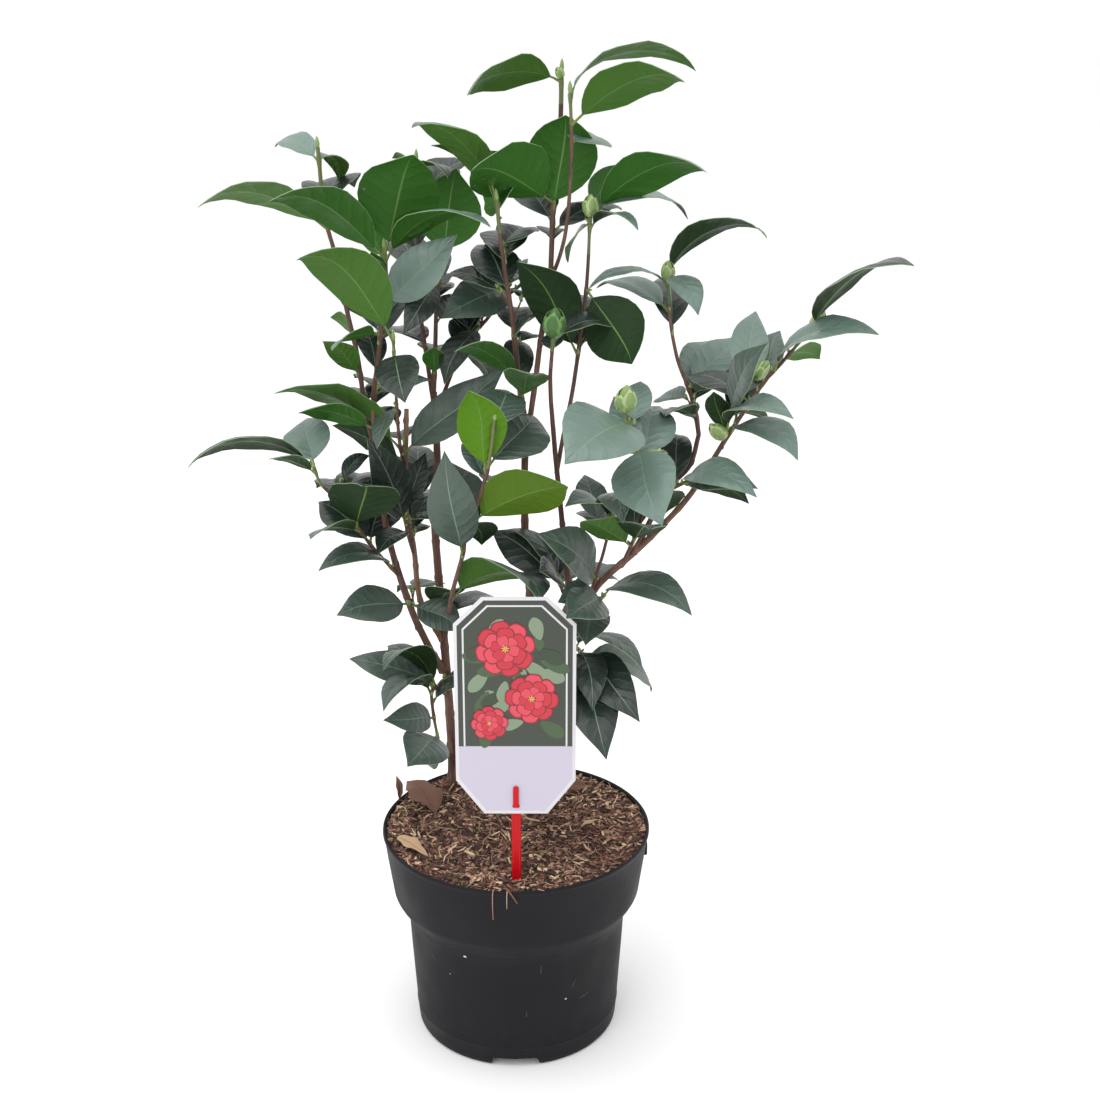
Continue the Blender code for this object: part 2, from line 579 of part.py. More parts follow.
def make_pot():
    """The moulded pot: collar, shoulder, body, notched foot ring and drained floor."""
    foot_inner = FOOT_RADIUS - FOOT_RING_WIDTH
    outer = [(pot_radius(height), height) for height in OUTER_HEIGHTS]
    profile = [(0.0, FLOOR_HEIGHT + POT_WALL)]
    profile += [(inner_radius(height), height) for height in (*INNER_HEIGHTS, POT_HEIGHT - 1.0)]
    profile += [(RIM_RADIUS - POT_WALL + 0.7, POT_HEIGHT),
                (RIM_RADIUS - 0.5, POT_HEIGHT), (RIM_RADIUS + 0.2, POT_HEIGHT - 2.0),
                (RIM_RADIUS - 0.6, POT_HEIGHT - 5.0)]
    profile += outer[::-1]
    profile += [(FOOT_RADIUS, FOOT_EDGE + 1.0), (FOOT_RADIUS - 0.8, 1.0), (FOOT_RADIUS - FOOT_EDGE, 0.0),
                (foot_inner, 0.0), (foot_inner - 1.0, FLOOR_HEIGHT), (PAD_RADIUS + 1.5, FLOOR_HEIGHT),
                (PAD_RADIUS, 0.0), (0.0, 0.0)]
    pot = new_object("pot", turned(profile, POT_SIDES), "pot", 0.45)
    cutters = bmesh.new()
    for index in range(NOTCH_COUNT):
        verts = box(cutters, (foot_inner - 4, -NOTCH_WIDTH / 2, -1),
                    (FOOT_RADIUS + 4, NOTCH_WIDTH / 2, NOTCH_HEIGHT - 0.4))
        for vert in verts:
            if vert.co.z > 0:
                vert.co.y *= 0.86
        turn = Matrix.Rotation(math.radians(-90 + 360 / NOTCH_COUNT * index), 4, "Z")
        bmesh.ops.transform(cutters, matrix=turn, verts=verts)
    for index in range(DRAIN_COUNT):
        angle = 2 * math.pi * (index + 0.5) / DRAIN_COUNT
        centre = (DRAIN_RING_RADIUS * math.cos(angle), DRAIN_RING_RADIUS * math.sin(angle))
        drum(cutters, DRAIN_RADIUS, FLOOR_HEIGHT - 2, FLOOR_HEIGHT + POT_WALL + 2, centre, 12)
    carve(pot, new_object("pot_cutters", cutters))
    return pot


def make_compost(feet):
    """The compost: it fills the pot, domed, with a flat-topped mound at each trunk's foot."""
    floor = FLOOR_HEIGHT + POT_WALL + GAP
    heights = (COMPOST_EDGE, *INNER_HEIGHTS[:0:-1], floor)
    profile = [(0.0, COMPOST_CROWN), (60.0, COMPOST_CROWN - 1.4), (80.0, COMPOST_EDGE + 0.8)]
    profile += [(inner_radius(height) - COMPOST_CLEAR, height) for height in heights]
    profile.append((0.0, floor))
    compost = new_object("compost", turned(profile, POT_SIDES), "compost", 0.95)
    mounds = bmesh.new()
    for right, back, _ in feet:
        made = bmesh.ops.create_cone(mounds, cap_ends=True, segments=14, radius1=MOUND_FOOT_RADIUS,
                                     radius2=MOUND_TOP_RADIUS, depth=MOUND_DEPTH)
        middle = (right, back, MOUND_TOP - MOUND_DEPTH / 2)
        bmesh.ops.translate(mounds, vec=middle, verts=made["verts"])
    inside = bmesh.new()
    mound_low = MOUND_TOP - 2 * MOUND_DEPTH
    drum(inside, inner_radius(mound_low) - 2 * COMPOST_CLEAR, mound_low, MOUND_TOP + MOUND_DEPTH,
         (0, 0), POT_SIDES)
    mound = new_object("mounds", mounds)
    carve(mound, new_object("mound_limit", inside), "INTERSECT")
    carve(compost, mound, "UNION")
    pocket = bmesh.new()
    half = STICK_WIDTH / 2 + GAP
    front, back = stick_faces()
    box(pocket, (CARD_CENTRE_X - half, front - GAP, STICK_FOOT - GAP), (CARD_CENTRE_X + half, back + GAP, 200))
    carve(compost, new_object("stick_pocket", pocket))
    return compost


# ---- label -------------------------------------------------------------------
def stick_faces():
    """Y of the front and back faces of the stick, which stands behind the card."""
    front = CARD_BACK_Y + GAP
    return front, front + STICK_THICKNESS


def make_label():
    """The eight-sided card with its slot, and the stick whose tongue comes through it."""
    half, cut = CARD_WIDTH / 2, CARD_CORNER
    corners = [(-half, CARD_BOTTOM + CARD_LOWER_CUT), (-half + cut, CARD_BOTTOM), (half - cut, CARD_BOTTOM),
               (half, CARD_BOTTOM + CARD_LOWER_CUT),
               (half, CARD_TOP - cut), (half - cut, CARD_TOP), (-half + cut, CARD_TOP), (-half, CARD_TOP - cut)]
    builder = bmesh.new()
    face = builder.faces.new([builder.verts.new((CARD_CENTRE_X + x, CARD_BACK_Y, z)) for x, z in corners])
    grown = bmesh.ops.extrude_face_region(builder, geom=[face])
    moved = [item for item in grown["geom"] if isinstance(item, bmesh.types.BMVert)]
    bmesh.ops.translate(builder, vec=(0, -CARD_THICKNESS, 0), verts=moved)
    card = new_object("label_card", builder, "card", 0.35)
    slot = bmesh.new()
    box(slot, (CARD_CENTRE_X - SLOT_WIDTH / 2, CARD_BACK_Y - 5, SLOT_MIDDLE - SLOT_HEIGHT / 2),
        (CARD_CENTRE_X + SLOT_WIDTH / 2, CARD_BACK_Y + 5, SLOT_MIDDLE + SLOT_HEIGHT / 2))
    carve(card, new_object("card_slot", slot))

    front, back = stick_faces()
    tongue = CARD_BACK_Y - CARD_THICKNESS - GAP
    low, high = SLOT_MIDDLE - SLOT_HEIGHT / 2 + GAP, SLOT_MIDDLE + SLOT_HEIGHT / 2 - GAP
    outline = [(front, STICK_FOOT), (back, STICK_FOOT + 8), (back, high), (tongue, high), (tongue, STICK_TOP),
               (tongue - 1.2, STICK_TOP), (tongue - 1.2, low), (front, low)]
    builder = bmesh.new()
    left = CARD_CENTRE_X - STICK_WIDTH / 2
    face = builder.faces.new([builder.verts.new((left, y, z)) for y, z in outline])
    grown = bmesh.ops.extrude_face_region(builder, geom=[face])
    moved = [item for item in grown["geom"] if isinstance(item, bmesh.types.BMVert)]
    bmesh.ops.translate(builder, vec=(STICK_WIDTH, 0, 0), verts=moved)
    return card, new_object("label_stick", builder, "stick", 0.3)


# ---- limbs -------------------------------------------------------------------
def limb_line(limb):
    """Centre line of a limb, with more rings in a trunk's flare."""
    line = smooth_route(limb.route, LIMB_STEP)
    if limb.parent is None:
        line[1:1] = [line[0].lerp(line[1], 0.25), line[0].lerp(line[1], 0.6)]
    return line


def limb_radii(limb, line):
    """Radii along a limb; a trunk flares at its foot."""
    radii = taper(line, limb.foot_radius, limb.tip_radius)
    if limb.parent is None:
        for index, along in enumerate(lengths_along(line)):
            radii[index] *= 1 + FLARE * math.exp(-along / FLARE_HEIGHT)
    return radii


def limb_builder(limb, grown=0.0, reach=0.0):
    """A bmesh of a limb, grown all over by a clearance and past its tip by a reach."""
    line = limb_line(limb)
    radii = [radius + grown for radius in limb_radii(limb, line)]
    if reach:
        line = line[:-1] + [line[-1] + (line[-1] - line[-2]).normalized() * reach]
    builder = bmesh.new()
    sweep(builder, line, radii, LIMB_SIDES)
    if limb.parent is None:
        foot = limb.route[0][2]
        for vert in builder.verts:
            if (vert.co - Vector(limb.route[0])).length < radii[0] + 0.5:
                vert.co.z = foot
    return builder


def drop_scrap(target):
    """Keep only an object's largest loose part."""
    builder = bmesh.new()
    builder.from_mesh(target.data)
    builder.faces.ensure_lookup_table()
    left = set(builder.faces)
    parts = []
    while left:
        front = [left.pop()]
        part = set(front)
        while front:
            for edge in front.pop().edges:
                for face in edge.link_faces:
                    if face in left:
                        left.remove(face)
                        part.add(face)
                        front.append(face)
        parts.append(part)
    if len(parts) > 1:
        largest = max(parts, key=lambda part: sum(face.calc_area() for face in part))
        scrap = [face for part in parts if part is not largest for face in part]
        bmesh.ops.delete(builder, geom=scrap, context="FACES")
    builder.to_mesh(target.data)
    builder.free()


def make_limbs():
    """All trunks and boughs. A bough is cut clear of the limb that carries it."""
    made = {}
    for limb in LIMBS:
        solid = new_object(limb.name, limb_builder(limb), "bark", 0.8)
        if limb.parent:
            parent = next(other for other in LIMBS if other.name == limb.parent)
            carve(solid, new_object("limb_cutter", limb_builder(parent, GAP)))
            drop_scrap(solid)
        solid.data.shade_smooth()
        made[limb.name] = solid
    return made


# ---- foliage -----------------------------------------------------------------
def midrib(foot, leaf, heading):
    """Centre, run and upper side of a blade at each of its stations."""
    along = polar(heading, leaf.rise)
    tilt = math.radians(leaf.facing)
    upper = Vector((0.0, math.sin(tilt), math.cos(tilt)))
    upper = (upper - upper.dot(along) * along).normalized()
    lift, hook = math.radians(leaf.habit.lift), math.radians(leaf.habit.hook)
    tip = foot + along * leaf.length
    first = foot + HANDLE * leaf.length * (math.cos(lift) * along + math.sin(lift) * upper)
    second = tip - HANDLE * leaf.length * (math.cos(hook) * along - math.sin(hook) * upper)
    for share, _ in BLADE_STATIONS:
        rest = 1 - share
        middle = (rest ** 3 * foot + 3 * rest ** 2 * share * first + 3 * rest * share ** 2 * second
                  + share ** 3 * tip)
        run = rest ** 2 * (first - foot) + 2 * rest * share * (second - first) + share ** 2 * (tip - second)
        side = run.cross(upper).normalized()
        yield middle, side, side.cross(run).normalized()


def blade(builder, foot, leaf, heading, grown=0.0, start=0):
    """One leaf: a thin folded blade on a short stalk, from one of its stations on."""
    rings = []
    stations = list(zip(BLADE_STATIONS, midrib(foot, leaf, heading)))
    for index, ((share, half_breadth), (middle, side, normal)) in enumerate(stations[start:], start):
        if share == 1.0:
            rings.append([builder.verts.new(middle)])
            continue
        thick = BLADE_THICKNESS * leaf.length / 2
        half = half_breadth * leaf.habit.breadth * leaf.length
        fold = BLADE_FOLD
        if index <= STALK_END:
            thick = max(thick, STALK_RADIUS)
            half = max(half, STALK_RADIUS)
            fold = 0.0
        edge = (half + grown) * math.cos(fold) * side
        raised = (half + grown) * math.sin(fold) * normal
        skin = (thick + grown) * normal
        corners = (middle + raised + edge, middle + skin, middle + raised - edge, middle - skin)
        rings.append([builder.verts.new(corner) for corner in corners])
    for lower, higher in zip(rings, rings[1:]):
        for corner in range(4):
            following = (corner + 1) % 4
            if len(higher) == 1:
                builder.faces.new((lower[corner], lower[following], higher[0]))
                continue
            # Both skins are split from the midrib out, so that they never cross.
            if corner % 2 == 0:
                builder.faces.new((lower[corner], lower[following], higher[corner]))
                builder.faces.new((lower[following], higher[following], higher[corner]))
            else:
                builder.faces.new((lower[corner], lower[following], higher[following]))
                builder.faces.new((lower[corner], higher[following], higher[corner]))
    builder.faces.new(rings[0][::-1])


BUD_STATIONS = ((0.00, 0.50), (0.30, 1.00), (0.65, 0.85), (1.00, 0.12))


def flower_bud(builder, foot, bud):
    """A plump pointed flower bud."""
    along = polar(bud.heading, bud.rise)
    line = [foot + along * bud.length * share for share, _ in BUD_STATIONS]
    radii = [bud.breadth / 2 * width for _, width in BUD_STATIONS]
    sweep(builder, line, radii, 6)


class Obstacle:
    """A piece that others keep clear of: its collision tree and a ball round it."""

    def __init__(self, builder):
        corners = [vert.co for vert in builder.verts]
        self.centre = sum(corners, Vector()) / len(corners)
        self.radius = max((corner - self.centre).length for corner in corners)
        self.tree = BVHTree.FromBMesh(builder)

    def meets(self, other):
        """True where the two pieces cross."""
        if (self.centre - other.centre).length > self.radius + other.radius:
            return False
        return bool(self.tree.overlap(other.tree))


def grown_blade(foot, leaf, heading, start):
    """A leaf with its clearance, to test it against other pieces."""
    builder = bmesh.new()
    blade(builder, foot, leaf, heading, CLEARANCE, start)
    made = Obstacle(builder)
    builder.free()
    return made


class Growth:
    """The loose pieces of one mass, and what the other masses keep clear of."""

    def __init__(self, mass, limbs, fixed):
        self.mass = mass
        self.limb = limbs[mass.limb]
        self.fixed = [piece for name, piece in limbs.items() if name != mass.limb] + fixed
        self.chance = random.Random(mass.name)
        self.pieces = []
        self.obstacles = []
        self.blades = []
        self.spine = smooth_route(mass.shoots[0].route, SHOOT_STEP)

    def add(self, kind, builder):
        """Keep a piece, as a loose object and as an obstacle."""
        self.obstacles.append(Obstacle(builder))
        self.pieces.append(new_object(kind, builder))

    def others(self, growths):
        """All that this mass keeps clear of."""
        found = list(self.fixed)
        for growth in growths:
            if growth is not self:
                found += growth.obstacles
        return found

    def add_shoots(self):
        """The stems of the mass, with their flower buds."""
        for shoot in self.mass.shoots:
            line = smooth_route(shoot.route, SHOOT_STEP)
            builder = bmesh.new()
            sweep(builder, line, taper(line, shoot.foot_radius, shoot.tip_radius), SHOOT_SIDES)
            self.add("shoot", builder)
            for bud in shoot.buds:
                builder = bmesh.new()
                flower_bud(builder, point_at(line, bud.share)[0], bud)
                self.add("bud", builder)

    def add_leaves(self, growths):
        """The leaves that give the mass its outline."""
        others = self.others(growths)
        for shoot in self.mass.shoots:
            line = smooth_route(shoot.route, SHOOT_STEP)
            for leaf in shoot.leaves:
                foot = point_at(line, leaf.share)[0] + polar(leaf.heading, 0) * shoot.tip_radius * FOOT_OFFSET
                self.add_leaf(foot, leaf, others)

    def add_leaf(self, foot, leaf, others):
        """Add a leaf, swung by small steps until it is clear, or leave it out."""
        fallback = None
        for swing in SWING_STEPS:
            whole = grown_blade(foot, leaf, leaf.heading + swing, 0)
            outer = grown_blade(foot, leaf, leaf.heading + swing, STALK_END)
            if outer.meets(self.limb) or any(whole.meets(other) for other in others):
                continue
            if not any(outer.meets(other) for other in self.blades):
                fallback = (swing, outer)
                break
            if fallback is None:
                fallback = (swing, outer)
        if fallback is None:
            return
        swing, outer = fallback
        builder = bmesh.new()
        blade(builder, foot, leaf, leaf.heading + swing)
        self.add("leaf", builder)
        self.blades.append(outer)

    def seeded_leaf(self, foot, turn, others):
        """Add a leaf of the seeded growth, which fills the far side of the crown."""
        heading = between(REAR, turn % 360 / 360)
        leaf = Leaf(0.0, heading, self.chance.uniform(*REAR_LEAF_RISE), self.chance.uniform(*REAR_LEAF_LENGTH),
                    self.chance.uniform(*REAR_FACING), self.chance.choice((ARCH, BOW, HOOK)))
        if (foot + polar(heading, leaf.rise) * leaf.length - self.nearest_on_spine(foot)).length < MASS_REACH:
            self.add_leaf(foot, leaf, others)

    def nearest_on_spine(self, point):
        """Point of the mass's stem that is nearest to a point."""
        return min(self.spine, key=lambda knot: (knot - point).length)

    def add_seeded_growth(self, growths):
        """Leaves and side twigs by the seeded rule, two fifths of a turn apart."""
        others = self.others(growths)
        turn = self.chance.uniform(0, 360)
        for index in range(self.mass.rear_leaves):
            turn += SPIRAL
            share = between(REAR_SHARE, (index + self.chance.random()) / self.mass.rear_leaves)
            self.seeded_leaf(point_at(self.spine, share)[0], turn, others)
        for _ in range(self.mass.twigs):
            turn += SPIRAL
            foot = point_at(self.spine, self.chance.uniform(*TWIG_SHARE))[0]
            heading = between(REAR, turn % 360 / 360)
            end = foot + polar(heading, self.chance.uniform(*TWIG_RISE)) * self.chance.uniform(*TWIG_LENGTH)
            builder = bmesh.new()
            sweep(builder, [foot, end], [TWIG_RADIUS, TWIG_RADIUS * 0.8], SHOOT_SIDES)
            twig = Obstacle(builder)
            if any(twig.meets(other) for other in others):
                builder.free()
                continue
            self.add("twig", builder)
            for number in range(TWIG_LEAVES):
                turn += SPIRAL
                self.seeded_leaf(foot.lerp(end, 1.0 - TWIG_LEAF_STEP * number), turn, others)


def fuse(name, pieces):
    """Join the pieces of a mass by one Boolean union on their collection."""
    holder = bpy.data.collections.new(name + "_pieces")
    bpy.context.scene.collection.children.link(holder)
    first, rest = pieces[0], pieces[1:]
    for piece in rest:
        bpy.context.scene.collection.objects.unlink(piece)
        holder.objects.link(piece)
    union = first.modifiers.new("union", "BOOLEAN")
    union.operation = "UNION"
    union.operand_type = "COLLECTION"
    union.collection = holder
    union.solver = "EXACT"
    apply_modifiers(first)
    for piece in rest:
        bpy.data.objects.remove(piece, do_unlink=True)
    bpy.data.collections.remove(holder)
    first.name = name
    first.data.name = name
    return first


def solid_obstacle(solid):
    """An obstacle in the shape of a finished object."""
    builder = bmesh.new()
    builder.from_mesh(solid.data)
    bmesh.ops.scale(builder, vec=(1 / MM,) * 3, verts=builder.verts)
    made = Obstacle(builder)
    builder.free()
    return made


def make_foliage(solids):
    """All masses, each clear of the limbs, the label, the pot and each other."""
    limbs = {limb.name: solid_obstacle(solids[limb.name]) for limb in LIMBS}
    fixed = [solid_obstacle(solid) for name, solid in solids.items() if name not in limbs]
    growths = [Growth(mass, limbs, fixed) for mass in MASSES]
    for growth in growths:
        growth.add_shoots()
    for growth in growths:
        growth.add_leaves(growths)
    for growth in growths:
        growth.add_seeded_growth(growths)
    for growth in growths:
        solid = fuse(growth.mass.name, growth.pieces)
        limb = next(limb for limb in LIMBS if limb.name == growth.mass.limb)
        carve(solid, new_object("limb_cutter", limb_builder(limb, GAP, GAP)))
        drop_scrap(solid)
        solid.data.materials.clear()
        solid.data.materials.append(material("leaf", 0.4))


def main():
    """Build the shrub, its pot and its label."""
    for old in list(bpy.data.objects):
        bpy.data.objects.remove(old, do_unlink=True)
    feet = [limb.route[0] for limb in LIMBS if limb.parent is None]
    solids = {"pot": make_pot(), "compost": make_compost(feet)}
    solids["label_card"], solids["label_stick"] = make_label()
    for name in ("pot", "compost"):
        solids[name].data.shade_smooth()
        solids[name].data.set_sharp_from_angle(angle=math.radians(35))
    solids.update(make_limbs())
    make_foliage(solids)


main()
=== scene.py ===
"""Looks of a young camellia shrub that stands in a round black nursery pot.

Bark, leaves, buds, compost, pot and label are built over the fixed solids, in
their frame: X to the right, Y to the back and Z up from the underside of the
pot. Sizes are millimetres until a piece is finished. The leaves grow by the
rule that made the solids, written again here and carried on to finer twigs.
"""
from __future__ import annotations

import json
import logging
import math
import random
import sys
from collections.abc import Callable, Iterable, Sequence
from dataclasses import dataclass, replace
from enum import Enum
from typing import ClassVar, Optional

import bmesh
import bpy
from mathutils import Matrix, Vector, noise
from mathutils.bvhtree import BVHTree

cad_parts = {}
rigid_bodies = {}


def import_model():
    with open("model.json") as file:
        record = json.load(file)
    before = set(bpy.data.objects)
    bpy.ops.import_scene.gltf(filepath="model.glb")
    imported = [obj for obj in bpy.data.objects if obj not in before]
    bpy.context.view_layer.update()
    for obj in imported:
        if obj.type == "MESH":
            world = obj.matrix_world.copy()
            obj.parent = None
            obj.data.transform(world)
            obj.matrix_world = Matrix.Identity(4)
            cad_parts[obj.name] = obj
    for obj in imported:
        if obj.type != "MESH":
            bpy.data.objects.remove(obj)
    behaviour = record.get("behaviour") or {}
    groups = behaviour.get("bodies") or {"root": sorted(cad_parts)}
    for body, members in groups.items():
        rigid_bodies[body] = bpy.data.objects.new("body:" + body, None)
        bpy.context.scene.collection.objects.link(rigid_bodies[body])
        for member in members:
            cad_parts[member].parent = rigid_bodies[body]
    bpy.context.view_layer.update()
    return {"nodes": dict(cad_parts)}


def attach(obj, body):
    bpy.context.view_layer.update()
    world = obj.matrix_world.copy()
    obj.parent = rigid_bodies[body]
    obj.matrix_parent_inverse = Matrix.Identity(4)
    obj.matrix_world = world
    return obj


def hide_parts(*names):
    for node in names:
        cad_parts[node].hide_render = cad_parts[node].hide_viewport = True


MM = 0.001
BODY = "root"
LOG = logging.getLogger("camellia")

Colour = tuple[float, float, float]
Point = tuple[float, float, float]
Pair = tuple[float, float]
Span = tuple[float, float]             # lowest and highest value
Line = Sequence[Vector]
Mesh = bmesh.types.BMesh
Verts = list[bmesh.types.BMVert]
Material = bpy.types.Material
Socket = bpy.types.NodeSocket

EYE: Point = (23.8, -1000.0, 695.0)    # the camera's place, in millimetres


def linear(red: float, green: float, blue: float) -> tuple[float, float, float, float]:
    """Turns a screen colour of 0 to 255 into the linear one a shader takes.

    Args:
        red: Red part.
        green: Green part.
        blue: Blue part.

    Returns:
        The linear colour, with full opacity.
    """
    parts = [part / 255 for part in (red, green, blue)]
    made = [part / 12.92 if part <= 0.04045 else ((part + 0.055) / 1.055) ** 2.4 for part in parts]
    return made[0], made[1], made[2], 1.0


def between(span: Sequence[float], share: float) -> float:
    """Gives the value at a share of the way across a span."""
    return span[0] + (span[1] - span[0]) * share


def eased(low: float, high: float, value: float) -> float:
    """Rises smoothly from 0 at low to 1 at high."""
    share = min(1.0, max(0.0, (value - low) / (high - low)))
    return share * share * (3 - 2 * share)


def polar(heading: float, rise: float) -> Vector:
    """Gives the unit vector of a heading (0 right, 90 back) and a rise, in degrees."""
    turn, climb = math.radians(heading), math.radians(rise)
    return Vector((math.cos(turn) * math.cos(climb), math.sin(turn) * math.cos(climb), math.sin(climb)))


def smooth_route(points: Iterable[Sequence[float]], step: float) -> list[Vector]:
    """Draws the Catmull-Rom curve through a route.

    Args:
        points: Points of the route.
        step: Spacing of the points that are wanted on the curve.

    Returns:
        Points of the curve, about a step apart.
    """
    route = [Vector(point) for point in points]
    route = [2 * route[0] - route[1]] + route + [2 * route[-1] - route[-2]]
    made = []
    for before, start, end, after in zip(route, route[1:], route[2:], route[3:]):
        pieces = max(2, round((end - start).length / step))
        for piece in range(pieces):
            t = piece / pieces
            made.append(0.5 * (2 * start + (end - before) * t
                               + (2 * before - 5 * start + 4 * end - after) * t * t
                               + (3 * start - before - 3 * end + after) * t ** 3))
    made.append(route[-2])
    return made


def lengths_along(line: Line) -> list[float]:
    """Gives the distance from the start of a line to each of its points.

    Args:
        line: Points of the line.

    Returns:
        A distance for each point.
    """
    run = [0.0]
    for start, end in zip(line, line[1:]):
        run.append(run[-1] + (end - start).length)
    return run


def point_at(line: Line, share: float) -> Vector:
    """Finds the point at a share of a line's length.

    Args:
        line: Points of the line.
        share: Share of its length, from 0 to 1.

    Returns:
        The point.
    """
    run = lengths_along(line)
    target = share * run[-1]
    for index, (start, end) in enumerate(zip(run, run[1:])):
        if target <= end:
            return line[index].lerp(line[index + 1], (target - start) / (end - start))
    return line[-1].copy()


def taper(line: Line, foot_radius: float, tip_radius: float) -> list[float]:
    """Gives the radius at each point of a line, falling evenly from foot to tip."""
    run = lengths_along(line)
    return [foot_radius + (tip_radius - foot_radius) * along / run[-1] for along in run]


def frames_along(line: Line) -> list[tuple[Vector, Vector]]:
    """Carries a pair of cross directions along a line, turned as little as can be.

    Args:
        line: Points of the line.

    Returns:
        Two unit vectors across the line at each of its points.
    """
    tangent = (line[1] - line[0]).normalized()
    across = tangent.orthogonal().normalized()
    made = []
    for index in range(len(line)):
        ahead = line[min(index + 1, len(line) - 1)] - line[max(index - 1, 0)]
        tangent = ahead.normalized()
        across = (across - across.dot(tangent) * tangent).normalized()
        made.append((across, tangent.cross(across)))
    return made


# ---- mesh building -----------------------------------------------------------
def verts_of(made: dict[str, list]) -> Verts:
    """Picks the verts out of what an operator made."""
    return [item for item in made["geom"] if isinstance(item, bmesh.types.BMVert)]


def bevelled(builder: Mesh, edges: Sequence[bmesh.types.BMEdge], offset: float, segments: int) -> None:
    """Rounds edges by an offset, in a number of segments."""
    bmesh.ops.bevel(builder, geom=edges, offset=offset, offset_type="OFFSET", segments=segments, profile=0.5,
                    affect="EDGES", material=-1)


def pushed_out(builder: Mesh, outline: Sequence[Point], along: Point) -> Verts:
    """Adds a closed solid by extruding a face.

    Args:
        builder: The bmesh that it is added to.
        outline: Corners of the face.
        along: How far it is extruded.

    Returns:
        Its verts.
    """
    near = [builder.verts.new(corner) for corner in outline]
    far = verts_of(bmesh.ops.extrude_face_region(builder, geom=[builder.faces.new(near)]))
    bmesh.ops.translate(builder, vec=along, verts=far)
    return near + far


def grid_piece(builder: Mesh, rows: int, columns: int, place: Callable[[int, int], Vector],
               chart: Optional[Callable[[int, int], Pair]] = None,
               finish: Optional[Callable[[int, int], int]] = None) -> None:
    """Adds a grid and bends it into a surface.

    Args:
        builder: The bmesh that it is added to.
        rows: Number of rows of corners.
        columns: Number of columns of corners.
        place: Gives the place of the corner in a row and column.
        chart: Gives that corner's place on the pattern; by default its row and column.
        finish: Gives the material number of the face after a row and column.
    """
    made = bmesh.ops.create_grid(builder, x_segments=rows - 1, y_segments=columns - 1, size=0.5)
    pattern = builder.loops.layers.uv.verify()
    spots = {}
    for vert in made["verts"]:
        spot = (round((vert.co.x + 0.5) * (rows - 1)), round((vert.co.y + 0.5) * (columns - 1)))
        spots[vert] = spot
        vert.co = place(*spot)
    for face in {face for vert in spots for face in vert.link_faces}:
        corners = [spots[vert] for vert in face.verts]
        row, column = min(corner[0] for corner in corners), min(corner[1] for corner in corners)
        face.material_index = finish(row, column) if finish else 0
        for loop in face.loops:
            at = spots[loop.vert]
            loop[pattern].uv = chart(*at) if chart else (at[0] / (rows - 1), at[1] / (columns - 1))


def tube(builder: Mesh, line: Line, radii: Sequence[float], sides: int,
         relief: Optional[Callable[[float, float], float]] = None,
         finish: Optional[Callable[[float], int]] = None, roundness: float = 0.35) -> None:
    """Adds a closed tube along a line.

    Args:
        builder: The bmesh that it is added to.
        line: Points of its middle.
        radii: Radius at each point.
        sides: Number of its sides.
        relief: Gives the height of the surface at an angle and a length along the tube.
        finish: Gives the material number at a share of the length.
        roundness: How far each end bulges, in radii.
    """
    run = lengths_along(line)
    frames = frames_along(line)
    last = len(line) + 1
    start = (line[0] - line[1]).normalized() * roundness * radii[0]
    end = (line[-1] - line[-2]).normalized() * roundness * radii[-1]

    def place(row: int, column: int) -> Vector:
        """Puts a corner on the tube, or on its middle at the two ends.

        Args:
            row: Row of the corner.
            column: Column of the corner.

        Returns:
            The place.
        """
        if row == 0:
            return line[0] + start
        if row == last:
            return line[-1] + end
        angle = 2 * math.pi * (column % sides) / sides
        across, up = frames[row - 1]
        radius = radii[row - 1] + (relief(angle, run[row - 1]) if relief else 0.0)
        return line[row - 1] + radius * (math.cos(angle) * across + math.sin(angle) * up)

    def reached(row: int) -> float:
        """Gives the length along the tube that a row has reached."""
        return run[min(max(row - 1, 0), len(line) - 1)]

    def chart(row: int, column: int) -> Pair:
        """Lays the pattern round the tube and along it."""
        return column / sides, reached(row) / 100

    def dealt(row: int, _: int) -> int:
        """Deals the finish by the share of the length."""
        return finish(reached(row) / run[-1]) if finish else 0

    grid_piece(builder, last + 1, sides + 1, place, chart, dealt)


class Swarm:
    """Many copies of one small shape, laid in a row until each is put in place."""

    PITCH = 8.0

    def __init__(self, template: Mesh, count: int) -> None:
        """Copies the shape by doubling the row.

        Args:
            template: The shape, within half a pitch of the origin.
            count: Number of copies.
        """
        self.builder = template
        made = 1
        while made < count:
            wanted = min(made, count - made)
            limit = (wanted - 0.5) * self.PITCH
            verts = [vert for vert in template.verts if vert.co.x < limit]
            chosen = set(verts)
            edges = [edge for edge in template.edges if edge.verts[0] in chosen]
            faces = [each for each in template.faces if each.verts[0] in chosen]
            fresh = verts_of(bmesh.ops.duplicate(template, geom=verts + edges + faces))
            bmesh.ops.translate(template, vec=(made * self.PITCH, 0, 0), verts=fresh)
            made += wanted

    def settle(self, place: Callable[[int, Vector], Vector],
               paint: Optional[Callable[[int, int], int]] = None) -> Mesh:
        """Puts each copy in place.

        Args:
            place: Gives the place of a point of a copy, from the copy's number and the point.
            paint: Gives a face's material number, from the copy's number and the shape's own.

        Returns:
            The bmesh of all the copies.
        """
        if paint:
            for each in self.builder.faces:
                number = round(each.verts[0].co.x / self.PITCH)
                each.material_index = paint(number, each.material_index)
        for vert in self.builder.verts:
            number = round(vert.co.x / self.PITCH)
            vert.co = place(number, Vector((vert.co.x - number * self.PITCH, vert.co.y, vert.co.z)))
        return self.builder


